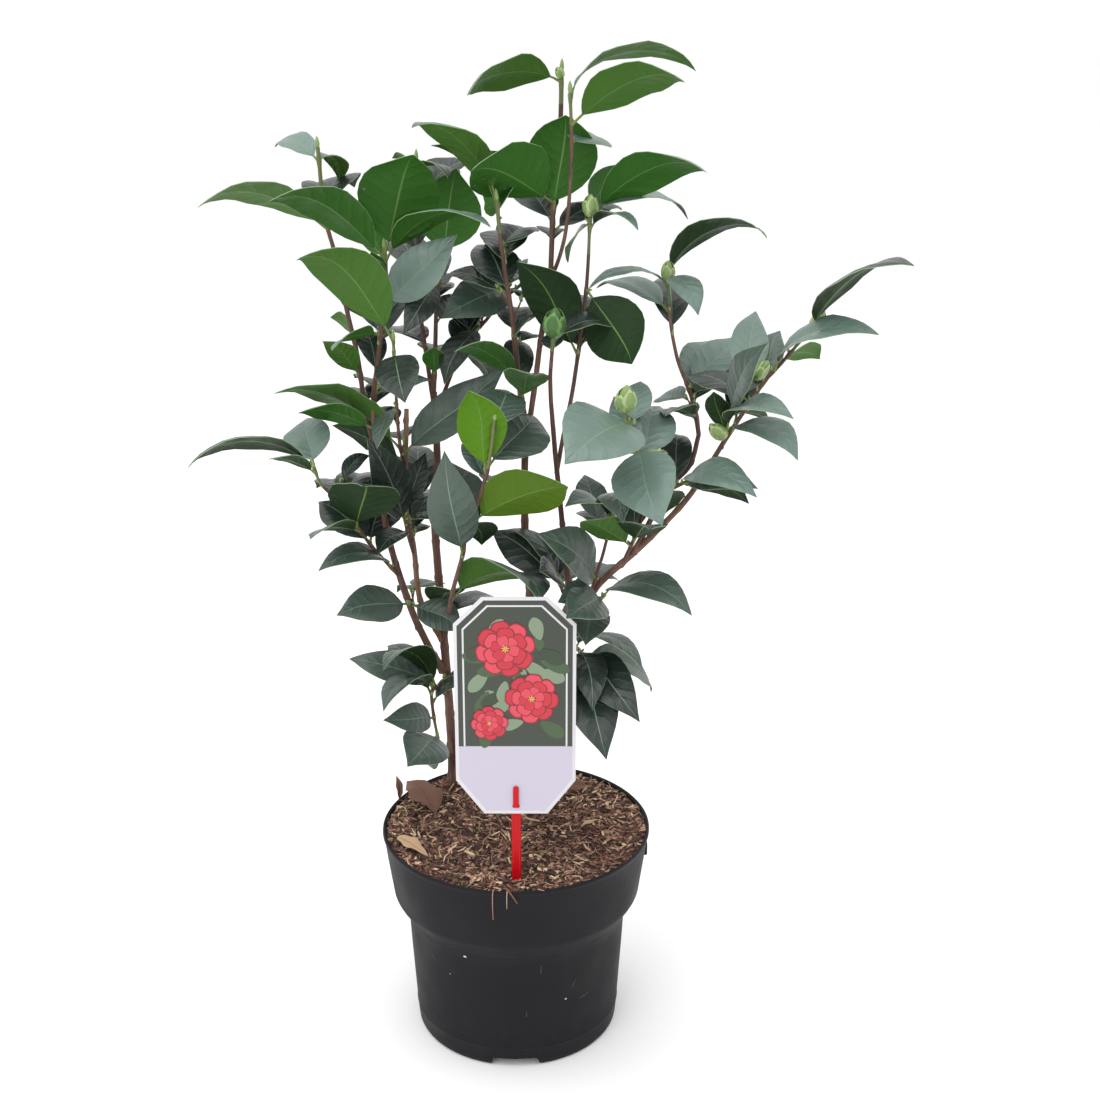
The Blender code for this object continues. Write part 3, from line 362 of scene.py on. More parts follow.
def turned(profile: Sequence[Pair], sides: int) -> Mesh:
    """Turns a profile round the upright axis.

    Args:
        profile: Radius and height of its points, whose ends lie on the axis.
        sides: Number of steps in the full turn.

    Returns:
        The turned bmesh.
    """
    builder = bmesh.new()
    verts = [builder.verts.new((radius, 0.0, height)) for radius, height in profile]
    edges = [builder.edges.new(pair) for pair in zip(verts, verts[1:])]
    bmesh.ops.spin(builder, geom=verts + edges, cent=(0, 0, 0), axis=(0, 0, 1),
                   angle=2 * math.pi, steps=sides, use_merge=True)
    bmesh.ops.remove_doubles(builder, verts=builder.verts, dist=0.001)
    return builder


def box(builder: Mesh, low: Sequence[float], high: Sequence[float]) -> Verts:
    """Adds a closed box.

    Args:
        builder: The bmesh that it is added to.
        low: Its lowest corner.
        high: Its highest corner.

    Returns:
        Its verts.
    """
    made = bmesh.ops.create_cube(builder, size=1.0)
    bmesh.ops.scale(builder, vec=[b - a for a, b in zip(low, high)], verts=made["verts"])
    bmesh.ops.translate(builder, vec=[(a + b) / 2 for a, b in zip(low, high)], verts=made["verts"])
    return made["verts"]


def plate(builder: Mesh, corners: Sequence[Point], thickness: float, finish: int = 0) -> None:
    """Adds a flat upright plate that faces the front.

    Args:
        builder: The bmesh that it is added to.
        corners: Corners of its back face.
        thickness: How far it comes forward.
        finish: Its material number.
    """
    for vert in pushed_out(builder, corners, (0, -thickness, 0)):
        for face in vert.link_faces:
            face.material_index = finish


def finished(name: str, builder: Mesh, finishes: Sequence[Material],
             crease: float = 40.0) -> bpy.types.Object:
    """Makes an object of a bmesh in millimetres.

    Args:
        name: Name of the piece.
        builder: Its bmesh, which is freed.
        finishes: Its materials, in the order of the material numbers.
        crease: Angle in degrees from which an edge stays sharp.

    Returns:
        The object, at the world's origin.
    """
    bmesh.ops.scale(builder, vec=(MM, MM, MM), verts=builder.verts)
    bmesh.ops.remove_doubles(builder, verts=builder.verts, dist=1e-6)
    bmesh.ops.recalc_face_normals(builder, faces=builder.faces)
    mesh = bpy.data.meshes.new(name)
    builder.to_mesh(mesh)
    builder.free()
    for finish in finishes:
        mesh.materials.append(finish)
    mesh.shade_smooth()
    mesh.set_sharp_from_angle(angle=math.radians(crease))
    made = bpy.data.objects.new(name, mesh)
    bpy.context.scene.collection.objects.link(made)
    return made


def carve(target: bpy.types.Object, cutter: bpy.types.Object) -> None:
    """Cuts one object out of another and removes the cutter.

    Args:
        target: The object that is cut.
        cutter: The object that cuts it.
    """
    modifier = target.modifiers.new("carve", "BOOLEAN")
    modifier.operation = "DIFFERENCE"
    modifier.solver = "EXACT"
    modifier.object = cutter
    graph = bpy.context.evaluated_depsgraph_get()
    mesh = bpy.data.meshes.new_from_object(target.evaluated_get(graph))
    target.modifiers.clear()
    old = target.data
    target.data = mesh
    bpy.data.meshes.remove(old)
    mesh.name = target.name
    bpy.data.objects.remove(cutter, do_unlink=True)


def deliver(piece: bpy.types.Object, slot: str, *nodes: str) -> None:
    """Hands a piece to the frame.

    Args:
        piece: The finished piece.
        slot: Name of a material slot; not used.
        *nodes: Solids that it stands for.
    """
    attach(piece, BODY)
    if nodes:
        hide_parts(*nodes)
    LOG.info("%s: %d faces", piece.name, len(piece.data.polygons))


# ---- finishes ----------------------------------------------------------------
class Graph:
    """The nodes of one new material."""

    def __init__(self, name: str) -> None:
        """Starts a material with its shader.

        Args:
            name: Name of the material.
        """
        self.material = bpy.data.materials.new(name)
        self.material.use_nodes = True
        self.tree = self.material.node_tree
        self.shader = self.tree.nodes["Principled BSDF"]

    def feed(self, target: bpy.types.Node, inputs: dict[str | int, object]) -> None:
        """Sets or links the inputs of a node.

        Args:
            target: The node.
            inputs: A value or an output for each named or numbered input.
        """
        for key, value in inputs.items():
            if isinstance(value, Socket):
                self.tree.links.new(value, target.inputs[key])
            else:
                target.inputs[key].default_value = value

    def node(self, kind: str, inputs: Optional[dict[str | int, object]] = None,
             **settings: object) -> bpy.types.Node:
        """Adds a node.

        Args:
            kind: Its type.
            inputs: Values or outputs for its inputs.
            **settings: Its own settings.

        Returns:
            The node.
        """
        made = self.tree.nodes.new(kind)
        for key, value in settings.items():
            setattr(made, key, value)
        self.feed(made, inputs or {})
        return made

    def shade(self, **inputs: object) -> Material:
        """Sets or links the shader's inputs, whose names are written with underscores.

        Args:
            **inputs: A value or an output for each.

        Returns:
            The material.
        """
        self.feed(self.shader, {key.replace("_", " "): value for key, value in inputs.items()})
        return self.material

    def place(self, stretch: Point = (1.0, 1.0, 1.0)) -> Socket:
        """Gives the object's own coordinates, stretched."""
        source = self.node("ShaderNodeTexCoord").outputs["Object"]
        return self.node("ShaderNodeMapping", {"Vector": source, "Scale": stretch}).outputs["Vector"]

    def speckle(self, scale: float, detail: float = 3.0,
                where: Optional[Socket] = None) -> Socket:
        """Gives a noise of a scale per metre."""
        inputs = {"Vector": where or self.place(), "Scale": scale, "Detail": detail}
        return self.node("ShaderNodeTexNoise", inputs).outputs["Fac"]

    def spread(self, value: Socket, low: float, high: float,
               start: float = 0.3, end: float = 0.7) -> Socket:
        """Spreads a noise over a range of values.

        Args:
            value: The noise.
            low: Result at its start.
            high: Result at its end.
            start: Where the noise starts to count.
            end: Where it stops.

        Returns:
            The spread value.
        """
        inputs = {"Value": value, "From Min": start, "From Max": end, "To Min": low, "To Max": high}
        return self.node("ShaderNodeMapRange", inputs).outputs["Result"]

    def maths(self, operation: str, first: object, second: object = 0.0,
              third: object = 0.0) -> Socket:
        """Does one sum on outputs or numbers."""
        inputs = {0: first, 1: second, 2: third}
        return self.node("ShaderNodeMath", inputs, operation=operation).outputs["Value"]

    def blend(self, share: Socket, first: object, second: object) -> Socket:
        """Mixes two colours by a share."""
        inputs = {"Factor": share, 6: first, 7: second}
        return self.node("ShaderNodeMix", inputs, data_type="RGBA").outputs[2]

    def bump(self, height: Socket, depth: float, under: Optional[Socket] = None,
             strength: float = 1.0) -> Socket:
        """Raises a bump.

        Args:
            height: Its pattern.
            depth: Its depth in millimetres.
            under: A bump that it lies on.
            strength: How strongly it shows.

        Returns:
            The normal.
        """
        inputs = {"Height": height, "Distance": depth * MM, "Strength": strength}
        if under:
            inputs["Normal"] = under
        return self.node("ShaderNodeBump", inputs).outputs["Normal"]


@dataclass(frozen=True)
class LeafSkin:
    """One side of a leathery leaf: an even colour, side veins and a waxy or dull surface."""

    name: str
    colour: Colour
    roughness: float
    coat: float
    vein_depth: float
    gloss: float = 0.5
    vein_pairs: float = 9.0

    def make(self) -> Material:
        """Makes the material.

        Returns:
            The material.
        """
        graph = Graph(self.name)
        spot = graph.node("ShaderNodeTexCoord").outputs["UV"]
        parts = graph.node("ShaderNodeSeparateXYZ", {"Vector": spot}).outputs
        across = graph.maths("ABSOLUTE", graph.maths("MULTIPLY_ADD", parts["Y"], 2.0, -1.0))
        slant = graph.maths("MULTIPLY_ADD", across, -0.16, parts["X"])
        paired = graph.maths("MULTIPLY", slant, self.vein_pairs)
        phase = graph.maths("MULTIPLY_ADD", graph.speckle(160.0, 2.0), 0.9, paired)
        wave = graph.maths("SINE", graph.maths("MULTIPLY", phase, 2 * math.pi))
        ridges = graph.maths("POWER", graph.spread(wave, 0.0, 1.0, -1.0, 1.0), 3.0)
        dimples = graph.bump(graph.speckle(330.0, 2.0), 0.12, graph.bump(ridges, self.vein_depth))
        pores = graph.bump(graph.speckle(1400.0, 2.0), 0.06, dimples)
        dull = graph.spread(graph.speckle(70.0), self.roughness - 0.12, self.roughness + 0.14)
        return graph.shade(Base_Color=linear(*self.colour), Coat_Weight=self.coat, Coat_Roughness=0.28,
                           Specular_IOR_Level=self.gloss, Roughness=dull, Normal=pores)


@dataclass(frozen=True)
class Stalk:
    """The even skin of a stalk, a midrib, a leaf's edge or a bud scale."""

    name: str
    colour: Colour
    roughness: float = 0.5

    def make(self) -> Material:
        """Makes the material.

        Returns:
            The material.
        """
        graph = Graph(self.name)
        dull = graph.spread(graph.speckle(220.0), self.roughness - 0.1, self.roughness + 0.1)
        grain = graph.bump(graph.speckle(900.0, 2.0), 0.08)
        return graph.shade(Base_Color=linear(*self.colour), Roughness=dull, Normal=grain)


@dataclass(frozen=True)
class Bark:
    """Thin bark: two browns that run lengthwise, pale lenticels and a fine grain."""

    name: str
    dark: Colour
    light: Colour
    fleck: Colour

    def make(self) -> Material:
        """Makes the material.

        Returns:
            The material.
        """
        graph = Graph(self.name)
        streaks = graph.speckle(420.0, 5.0, graph.place((1.0, 1.0, 0.16)))
        patches = graph.speckle(38.0, 3.0, graph.place((1.0, 1.0, 0.5)))
        mottle = graph.spread(patches, 0.0, 1.0, 0.35, 0.62)
        base = graph.blend(mottle, linear(*self.dark), linear(*self.light))
        base = graph.blend(graph.spread(streaks, 0.0, 0.55, 0.5, 0.7), base, linear(*self.fleck))
        cells = graph.node("ShaderNodeTexVoronoi", {"Vector": graph.place((1.0, 1.0, 0.5)), "Scale": 330.0})
        dots = graph.spread(cells.outputs["Distance"], 1.0, 0.0, 0.06, 0.16)
        base = graph.blend(graph.maths("MULTIPLY", dots, 0.5), base, linear(*self.fleck))
        relief = graph.bump(dots, 0.25, graph.bump(streaks, 0.5))
        return graph.shade(Base_Color=base, Roughness=graph.spread(streaks, 0.62, 0.9), Normal=relief)


@dataclass(frozen=True)
class Moulded:
    """Moulded plastic: a mottled base colour, dulled where it is dusty or rubbed."""

    name: str
    colour: Colour
    dusty: Colour
    roughness: float
    dust_height: float = 0.0
    coat: float = 0.0
    gloss: float = 0.5

    def make(self) -> Material:
        """Makes the material.

        Returns:
            The material.
        """
        graph = Graph(self.name)
        rubs = graph.speckle(26.0, 6.0)
        scuffs = graph.speckle(240.0, 4.0, graph.place((1.0, 1.0, 0.35)))
        height = graph.node("ShaderNodeSeparateXYZ", {"Vector": graph.place()}).outputs["Z"]
        low = graph.spread(height, 1.0, 0.0, 0.0, max(self.dust_height, 1.0) * MM)
        dust = graph.maths("MULTIPLY", graph.spread(scuffs, 0.0, 1.0, 0.45, 0.75), low)
        rubbed = graph.spread(rubs, 0.0, 0.35, 0.4, 0.75)
        share = graph.maths("ADD", rubbed, graph.maths("MULTIPLY", dust, 0.4))
        base = graph.blend(share, linear(*self.colour), linear(*self.dusty))
        relief = graph.bump(scuffs, 0.06, graph.bump(graph.speckle(1500.0, 2.0), 0.05))
        dull = graph.spread(rubs, self.roughness - 0.08, self.roughness + 0.12)
        return graph.shade(Base_Color=base, Coat_Weight=self.coat, Specular_IOR_Level=self.gloss,
                           Roughness=dull, Normal=relief)


@dataclass(frozen=True)
class Crumb:
    """A dry, dull bit of compost or dead leaf: an even colour and a rough grain."""

    name: str
    colour: Colour
    depth: float = 0.3

    def make(self) -> Material:
        """Makes the material.

        Returns:
            The material.
        """
        graph = Graph(self.name)
        grain = graph.speckle(700.0, 5.0)
        return graph.shade(Base_Color=linear(*self.colour), Roughness=graph.spread(grain, 0.8, 0.98),
                           Normal=graph.bump(grain, self.depth))


@dataclass(frozen=True)
class Soil:
    """The fine compost between the bits: three browns in small grains."""

    name: str
    dark: Colour
    middle: Colour
    light: Colour

    def make(self) -> Material:
        """Makes the material.

        Returns:
            The material.
        """
        graph = Graph(self.name)
        grains = graph.speckle(520.0, 6.0)
        mottle = graph.spread(grains, 0.0, 1.0, 0.4, 0.6)
        base = graph.blend(mottle, linear(*self.dark), linear(*self.middle))
        clods = graph.spread(graph.speckle(90.0, 3.0), 0.0, 0.5, 0.5, 0.7)
        base = graph.blend(clods, base, linear(*self.light))
        return graph.shade(Base_Color=base, Roughness=graph.spread(grains, 0.85, 1.0),
                           Normal=graph.bump(grains, 1.2))


@dataclass(frozen=True)
class Ink:
    """Printed or bare card: an even colour under a thin varnish."""

    name: str
    colour: Colour
    roughness: float = 0.38

    def make(self) -> Material:
        """Makes the material.

        Returns:
            The material.
        """
        graph = Graph(self.name)
        fibres = graph.speckle(1100.0, 3.0)
        dull = graph.spread(fibres, self.roughness - 0.06, self.roughness + 0.08)
        return graph.shade(Base_Color=linear(*self.colour), Coat_Weight=0.15, Coat_Roughness=0.2,
                           Roughness=dull, Normal=graph.bump(fibres, 0.02))


# ---- the plant's own words ---------------------------------------------------
class Habit(Enum):
    """How a leaf is held: lift off its stem and hook at its tip in degrees, and breadth over length."""

    ARCH = (30, 45, 0.42)
    BOW = (20, 30, 0.50)
    FLAT = (8, 20, 0.50)
    HOOK = (50, 56, 0.40)
    BROAD = (14, 30, 0.62)
    ROUND = (5, 48, 0.76)
    STRAP = (15, 22, 0.37)
    CURL = (70, 72, 0.36)
    DOME = (50, 56, 0.50)

    @property
    def lift(self) -> float:
        """Lift off the stem, in radians."""
        return math.radians(self.value[0])

    @property
    def hook(self) -> float:
        """Hook at the tip, in radians."""
        return math.radians(self.value[1])

    @property
    def breadth(self) -> float:
        """Breadth over length."""
        return self.value[2]


class Tone(Enum):
    """Skins of a leaf's two sides: numbers of the upper and the under material."""

    # Upper skin 0 and under skin 5 are painted shade, upper skin 2 painted sheen: darker and paler copies.
    CROWN = (2, 4)
    DEEP = (0, 4)
    SHADE = (0, 5)
    MIDDLE = (1, 5)
    PALE = (2, 5)
    OLIVE = (1, 6)
    YOUNG = (3, 7)
    LIME = (3, 8)


ARCH, BOW, FLAT, HOOK, BROAD, ROUND, STRAP, CURL, DOME = Habit
CROWN, DEEP, SHADE, MIDDLE, PALE, OLIVE, YOUNG, LIME = Tone


@dataclass(frozen=True)
class Limb:
    """A trunk or bough: its name, what bears it, its route (right, back, up) and its radii."""

    name: str
    parent: Optional[str]
    route: tuple[Point, ...]
    foot_radius: float
    tip_radius: float


@dataclass(frozen=True)
class Leaf:
    """A leaf: share of the shoot, heading, rise, length, tilt of its face, habit and own tone."""

    share: float
    heading: float
    rise: float
    length: float
    facing: float
    hold: Habit
    tone: Optional[Tone] = None


@dataclass(frozen=True)
class Bud:
    """A flower bud: share of the shoot, heading, rise, length, breadth, and whether it is a green one."""

    share: float
    heading: float
    rise: float
    length: float
    breadth: float
    is_green: bool = False


@dataclass(frozen=True)
class Shoot:
    """A leafy stem with its leaves and flower buds."""

    route: tuple[Point, ...]
    foot_radius: float
    tip_radius: float
    leaves: tuple[Leaf, ...]
    buds: tuple[Bud, ...]


@dataclass(frozen=True)
class Mass:
    """A mass of foliage: the limb that bears it, its shoots and its seeded growth."""

    name: str
    limb: str
    shoots: tuple[Shoot, ...]
    rear_leaves: int
    twigs: int
    # The mass's usual skins; the dark tones among them are painted shade, the pale ones painted sheen.
    tone: Tone
    fine_twigs: int

    def piece(self, kind: str) -> str:
        """Names one of the mass's pieces."""
        return kind + self.name.removeprefix("foliage")


LIMBS: tuple[Limb, ...] = (
    Limb("trunk_left", None,
         ((-47, 60, 151.3), (-49, 48, 228), (-52, 42, 295), (-55, 38, 361), (-52, 34, 408), (-53, 30, 453)),
         3.5, 2.2),
    Limb("bough_left", "trunk_left",
         ((-52, 44, 248), (-61, 38, 268), (-73, 28, 304), (-85, 14, 361), (-90, 6, 419)), 2.6, 1.9),
    Limb("cane_left", "trunk_left",
         ((-52, 43, 272), (-66, 36, 304), (-69, 28, 347), (-73, 22, 378), (-70, 16, 445)), 2.0, 1.6),
    Limb("trunk_right", None,
         ((20, 34, 151.3), (20, 24, 221), (14, 16, 283), (8, 12, 342), (7, 10, 387), (8, 8, 437)), 3.5, 2.2),
    Limb("bough_centre", "trunk_right",
         ((8, 9, 422), (14, 14, 462), (18, 18, 492), (24, 21, 524)), 1.9, 1.7),
    Limb("bough_middle", "trunk_right",
         ((20, 22, 226), (32, 8, 275), (36, -2, 320), (32, -8, 372), (27, -11, 424)), 2.3, 1.6),
    Limb("bough_right", "bough_middle",
         ((34, 2, 290), (54, -14, 332), (82, -20, 362), (109, -26, 394), (124, -28, 418)), 2.6, 1.7),
    Limb("bough_right_upper", "bough_right",
         ((78, -20, 358), (99, -14, 398), (114, -6, 413), (120, 0, 432)), 1.9, 1.5),
)

# ---- masses of foliage -------------------------------------------------------
MASSES: tuple[Mass, ...] = (
    Mass("foliage_left_crown", "bough_left", (
        Shoot(((-90, 6, 419), (-90, 4, 454), (-86, 4, 482), (-80, 6, 528), (-80, 8, 551)), 1.8, 1.1, (
            Leaf(0.12, -150, 18, 54, 45, BOW), Leaf(0.95, -144, 27, 88, 40, ARCH),
            Leaf(0.98, -50, 62, 70, 70, ROUND), Leaf(0.94, 130, 40, 58, 70, STRAP),
            Leaf(0.86, -112, 28, 34, 40, STRAP), Leaf(0.94, -32, 26, 84, 20, HOOK),
            Leaf(0.72, -12, 44, 68, -60, FLAT, PALE), Leaf(0.88, -124, 50, 20, 50, FLAT),
            Leaf(0.59, -126, -4, 45, 50, BOW),
        ), ()),
    ), 3, 1, CROWN, 1),
    Mass("foliage_left_cane", "bough_left", (
        Shoot(((-88, 9, 404), (-96, 10, 447), (-101, 16, 483), (-107, 22, 509), (-114, 28, 544),
               (-120, 32, 569), (-123, 36, 610)), 1.7, 1.3, (
            Leaf(0.76, -144, 12, 90, 25, ARCH), Leaf(0.96, 132, 6, 50, -20, ARCH, PALE),
            Leaf(0.96, 80, -24, 45, -20, HOOK), Leaf(0.31, -132, 42, 40, 55, BOW),
            Leaf(0.42, 126, 18, 32, 60, BROAD),
        ), ()),
    ), 3, 1, OLIVE, 1),
    Mass("foliage_far_left", "bough_left", (
        Shoot(((-78, 22, 326), (-94, 6, 353), (-106, -6, 376), (-116, -16, 395), (-123, -22, 406),
               (-126, -26, 418)), 1.3, 0.9, (
            Leaf(1.00, -146, 8, 84, 25, HOOK), Leaf(1.00, 102, 24, 50, -50, BROAD, PALE),
            Leaf(0.96, -140, 24, 36, 40, BOW), Leaf(0.50, -76, 42, 60, 60, ROUND),
            Leaf(0.46, -120, 10, 52, 50, BOW, MIDDLE), Leaf(0.34, 90, 14, 56, -60, BROAD),
            Leaf(0.10, -135, 12, 62, -20, HOOK, MIDDLE),
        ), ()),
    ), 2, 1, SHADE, 1),
    Mass("foliage_left_heart", "cane_left", (
        Shoot(((-69, 29, 340), (-72, 20, 358), (-73, 12, 374)), 1.3, 0.9, (
            Leaf(0.90, -140, 42, 46, -40, BOW), Leaf(1.00, 48, 62, 44, -50, STRAP),
            Leaf(0.95, -20, 8, 42, -30, BOW), Leaf(0.60, -114, -6, 40, -20, BOW),
            Leaf(0.80, -125, 58, 76, -45, STRAP),
        ), ()),
    ), 2, 1, SHADE, 3),
    Mass("foliage_left_low", "cane_left", (
        Shoot(((-65, 37, 300), (-70, 26, 304), (-72, 20, 308)), 1.2, 0.9, (
            Leaf(0.95, -150, 2, 54, -40, BROAD), Leaf(0.80, -20, -22, 40, -40, BROAD),
        ), ()),
    ), 2, 0, MIDDLE, 2),
    Mass("foliage_left_front", "cane_left", (
        Shoot(((-72, 20, 404), (-74, 6, 424), (-74, -6, 450), (-74, -12, 477), (-74, -16, 497)), 1.2, 0.9, (
            Leaf(1.00, -125, 36, 102, 40, ARCH), Leaf(0.92, -76, -30, 46, -60, BROAD, SHADE),
            Leaf(0.55, -106, -28, 40, 40, BOW), Leaf(0.20, -160, 28, 92, 35, ARCH),
            Leaf(0.14, 6, 40, 89, -50, STRAP, MIDDLE), Leaf(0.08, 150, 16, 60, 60, FLAT, SHADE),
        ), ()),
    ), 2, 0, OLIVE, 1),
    Mass("foliage_inner_back", "trunk_left", (
        Shoot(((-53, 31, 442), (-59, 38, 486), (-62, 42, 513), (-63, 46, 554), (-62, 48, 601)), 1.5, 1.1, (
            Leaf(0.97, -52, -6, 36, 30, ARCH), Leaf(0.97, 118, 4, 40, 40, STRAP),
            Leaf(0.81, 64, 28, 60, -40, FLAT), Leaf(0.62, 110, 58, 52, -40, FLAT, MIDDLE),
        ), ()),
    ), 3, 1, DEEP, 1),
    Mass("foliage_inner_left", "trunk_left", (
        Shoot(((-53, 30, 453), (-51, 27, 485), (-49, 24, 517), (-45, 22, 542)), 1.7, 1.1, (
            Leaf(1.00, 60, 72, 58, 80, ROUND, CROWN), Leaf(0.83, -116, -30, 52, -50, STRAP),
            Leaf(0.14, -86, 48, 30, 60, FLAT),
        ), ()),
    ), 2, 0, DEEP, 1),
    Mass("foliage_inner_right", "trunk_left", (
        Shoot(((-53, 32, 436), (-34, 42, 480), (-18, 50, 498), (-9, 54, 509), (9, 58, 523)), 1.4, 1.0, (
            Leaf(0.91, -136, -10, 66, -45, BOW, MIDDLE), Leaf(0.60, -126, -28, 60, -20, STRAP),
            Leaf(0.97, 122, 6, 60, -30, BOW, MIDDLE), Leaf(0.40, 68, -34, 60, -20, BOW),
        ), ()),
    ), 3, 1, SHADE, 2),
    Mass("foliage_centre_front", "trunk_left", (
        Shoot(((-51, 44, 268), (-45, 14, 304), (-40, -8, 330), (-33, -22, 357), (-30, -30, 374),
               (-22, -40, 397), (-14, -48, 427), (-10, -54, 456)), 1.8, 1.1, (
            Leaf(0.30, -55, 15, 97, 50, DOME, OLIVE), Leaf(0.52, -105, 68, 84, -65, STRAP),
            Leaf(0.65, -36, 26, 84, 62, BOW, YOUNG), Leaf(0.83, -110, 66, 64, 50, BOW, LIME),
            Leaf(0.85, 64, 16, 66, -60, BROAD), Leaf(0.96, 82, 18, 50, -50, BROAD),
            Leaf(0.65, 80, -40, 40, 50, BROAD), Leaf(0.54, 102, 34, 75, -40, FLAT),
            Leaf(0.35, 106, -34, 50, 40, BROAD),
        ), ()),
    ), 1, 0, MIDDLE, 3),
    Mass("foliage_left_foot", "trunk_left", (
        Shoot(((-49, 48, 226), (-56, 30, 241), (-59, 22, 240), (-57, 12, 227), (-54, 6, 213)), 1.5, 1.0, (
            Leaf(0.38, -118, 30, 74, 45, CURL), Leaf(0.34, -180, 20, 65, -30, ARCH),
            Leaf(0.44, -116, 8, 66, 20, HOOK), Leaf(0.78, -136, 16, 46, -55, BOW),
            Leaf(0.97, -106, 4, 58, -50, BROAD), Leaf(1.00, 112, -52, 40, -50, BROAD),
            Leaf(0.36, 122, 24, 50, -30, BOW),
        ), ()),
    ), 1, 0, MIDDLE, 4),
    Mass("foliage_centre", "trunk_right", (
        Shoot(((8, 8, 437), (4, 8, 463), (0, 6, 506), (-4, 4, 533), (-7, 2, 557), (-9, 0, 581)), 2.0, 1.1, (
            Leaf(1.00, -132, 34, 84, 20, HOOK, OLIVE), Leaf(0.97, 150, 36, 60, 30, ARCH),
            Leaf(0.93, 106, 38, 60, 60, BROAD), Leaf(0.40, -56, 40, 24, -40, FLAT),
            Leaf(0.20, -134, 26, 62, 30, ARCH), Leaf(0.12, -72, 22, 52, 50, BROAD),
            Leaf(0.60, 112, 22, 60, -20, BOW), Leaf(0.80, 72, 2, 56, -30, BOW),
        ), ()),
    ), 3, 1, DEEP, 3),
    Mass("foliage_top", "bough_centre", (
        Shoot(((24, 21, 524), (26, 24, 576), (30, 26, 620), (31, 26, 657)), 1.7, 1.4, (
            Leaf(0.95, -148, -6, 66, 45, DOME), Leaf(0.40, -130, 18, 80, 55, BROAD, CROWN),
            Leaf(0.36, -65, 74, 62, 80, ROUND, CROWN), Leaf(0.30, 112, 18, 60, -20, BOW, SHADE),
            Leaf(0.26, 42, 8, 62, -20, ARCH, SHADE), Leaf(0.70, 68, -6, 30, -20, BROAD, PALE),
        ), (Bud(0.97, -120, 50, 8, 4.5),)),
        Shoot(((24, 22, 528), (31, 16, 548), (35, 12, 571), (37, 6, 611), (36, 2, 645)), 1.3, 1.0, (
            Leaf(0.84, -40, 18, 88, 35, ARCH), Leaf(0.97, 20, 10, 84, 20, CURL),
            Leaf(0.75, 68, -4, 50, -40, BROAD, PALE),
        ), ()),
    ), 3, 0, OLIVE, 1),
    Mass("foliage_middle_top", "bough_middle", (
        Shoot(((27, -11, 424), (24, -20, 470), (26, -30, 503)), 1.6, 1.1, (
            Leaf(0.95, 38, -6, 56, -10, HOOK),
        ), (Bud(1.00, -80, 70, 19, 13, True),)),
    ), 0, 0, DEEP, 1),
    Mass("foliage_middle_low", "bough_middle", (
        Shoot(((36, -3, 322), (32, -16, 330), (30, -22, 340)), 1.3, 0.9, (
            Leaf(1.00, 144, 32, 50, 0, HOOK), Leaf(0.95, -110, 28, 44, -50, BROAD),
            Leaf(0.95, 150, 24, 60, -35, BOW),
        ), ()),
    ), 1, 0, SHADE, 4),
    Mass("foliage_right_crown", "bough_middle", (
        Shoot(((28, -10, 409), (33, -4, 436), (38, 2, 459), (43, 6, 494), (47, 8, 528),
               (49, 10, 571)), 1.5, 1.0, (
            Leaf(0.47, -146, 54, 78, 60, BOW, SHADE), Leaf(1.00, -36, 20, 88, 50, HOOK, CROWN),
            Leaf(1.00, 64, 42, 50, 60, BOW), Leaf(1.00, 30, -2, 74, -10, HOOK, PALE),
            Leaf(0.72, -60, -35, 66, 80, BROAD, SHADE), Leaf(0.95, -50, 4, 44, 10, HOOK, PALE),
            Leaf(0.97, 122, -46, 40, -30, BOW),
        ), (Bud(1.00, -90, 70, 14, 9),)),
    ), 3, 1, DEEP, 1),
    Mass("foliage_right_tip", "bough_right", (
        Shoot(((124, -28, 418), (134, -30, 437), (155, -34, 473), (166, -36, 487),
               (183, -38, 509)), 1.7, 0.9, (
            Leaf(0.97, -50, 33, 90, -5, ARCH, SHADE), Leaf(0.68, -35, 32, 74, -20, HOOK),
            Leaf(0.81, 48, -14, 36, 60, BROAD, OLIVE), Leaf(0.25, -56, -4, 62, -20, HOOK),
            Leaf(0.59, 70, 30, 50, -30, STRAP, MIDDLE),
        ), (Bud(1.00, 0, 55, 13, 7),)),
        Shoot(((132, -30, 431), (138, -40, 466), (149, -44, 479)), 1.0, 0.8, (
            Leaf(0.50, -72, 48, 70, -45, STRAP, MIDDLE), Leaf(0.81, 76, 36, 66, -50, STRAP),
            Leaf(0.25, -58, 22, 66, -25, HOOK), Leaf(0.19, -114, 52, 42, 40, STRAP),
            Leaf(0.44, 46, -14, 42, 20, STRAP, SHADE),
        ), (Bud(1.00, -20, 55, 14, 7), Bud(0.16, -160, 40, 14, 9))),
    ), 3, 0, PALE, 1),
    Mass("foliage_right_under", "bough_right_upper", (
        Shoot(((98, -14, 397), (106, -20, 404), (112, -24, 408)), 1.2, 0.9, (
            Leaf(0.95, -58, 6, 70, -45, HOOK), Leaf(0.75, -50, 10, 66, -30, STRAP),
            Leaf(0.55, 28, -20, 60, 40, ARCH, SHADE), Leaf(0.30, 104, -44, 40, 40, BROAD),
        ), ()),
    ), 1, 0, PALE, 1),
    Mass("foliage_right_spire", "bough_right_upper", (
        Shoot(((120, 0, 432), (117, 4, 450), (112, 8, 464), (106, 12, 479), (101, 16, 503),
               (99, 20, 529)), 1.5, 0.9, (
            Leaf(1.00, -38, 24, 78, 20, CURL, MIDDLE), Leaf(1.00, -68, -20, 46, -20, HOOK),
            Leaf(0.97, -160, 0, 54, 0, HOOK), Leaf(0.80, 134, 6, 66, -10, ARCH),
            Leaf(0.12, -122, 12, 44, 40, BOW, SHADE), Leaf(0.23, 68, 22, 70, -50, BROAD),
            Leaf(0.30, 44, 26, 60, -30, BOW), Leaf(0.09, 110, -4, 40, -20, BOW),
        ), (Bud(1.00, -90, 75, 13, 8),)),
    ), 2, 0, PALE, 1),
    Mass("foliage_right_front", "bough_right", (
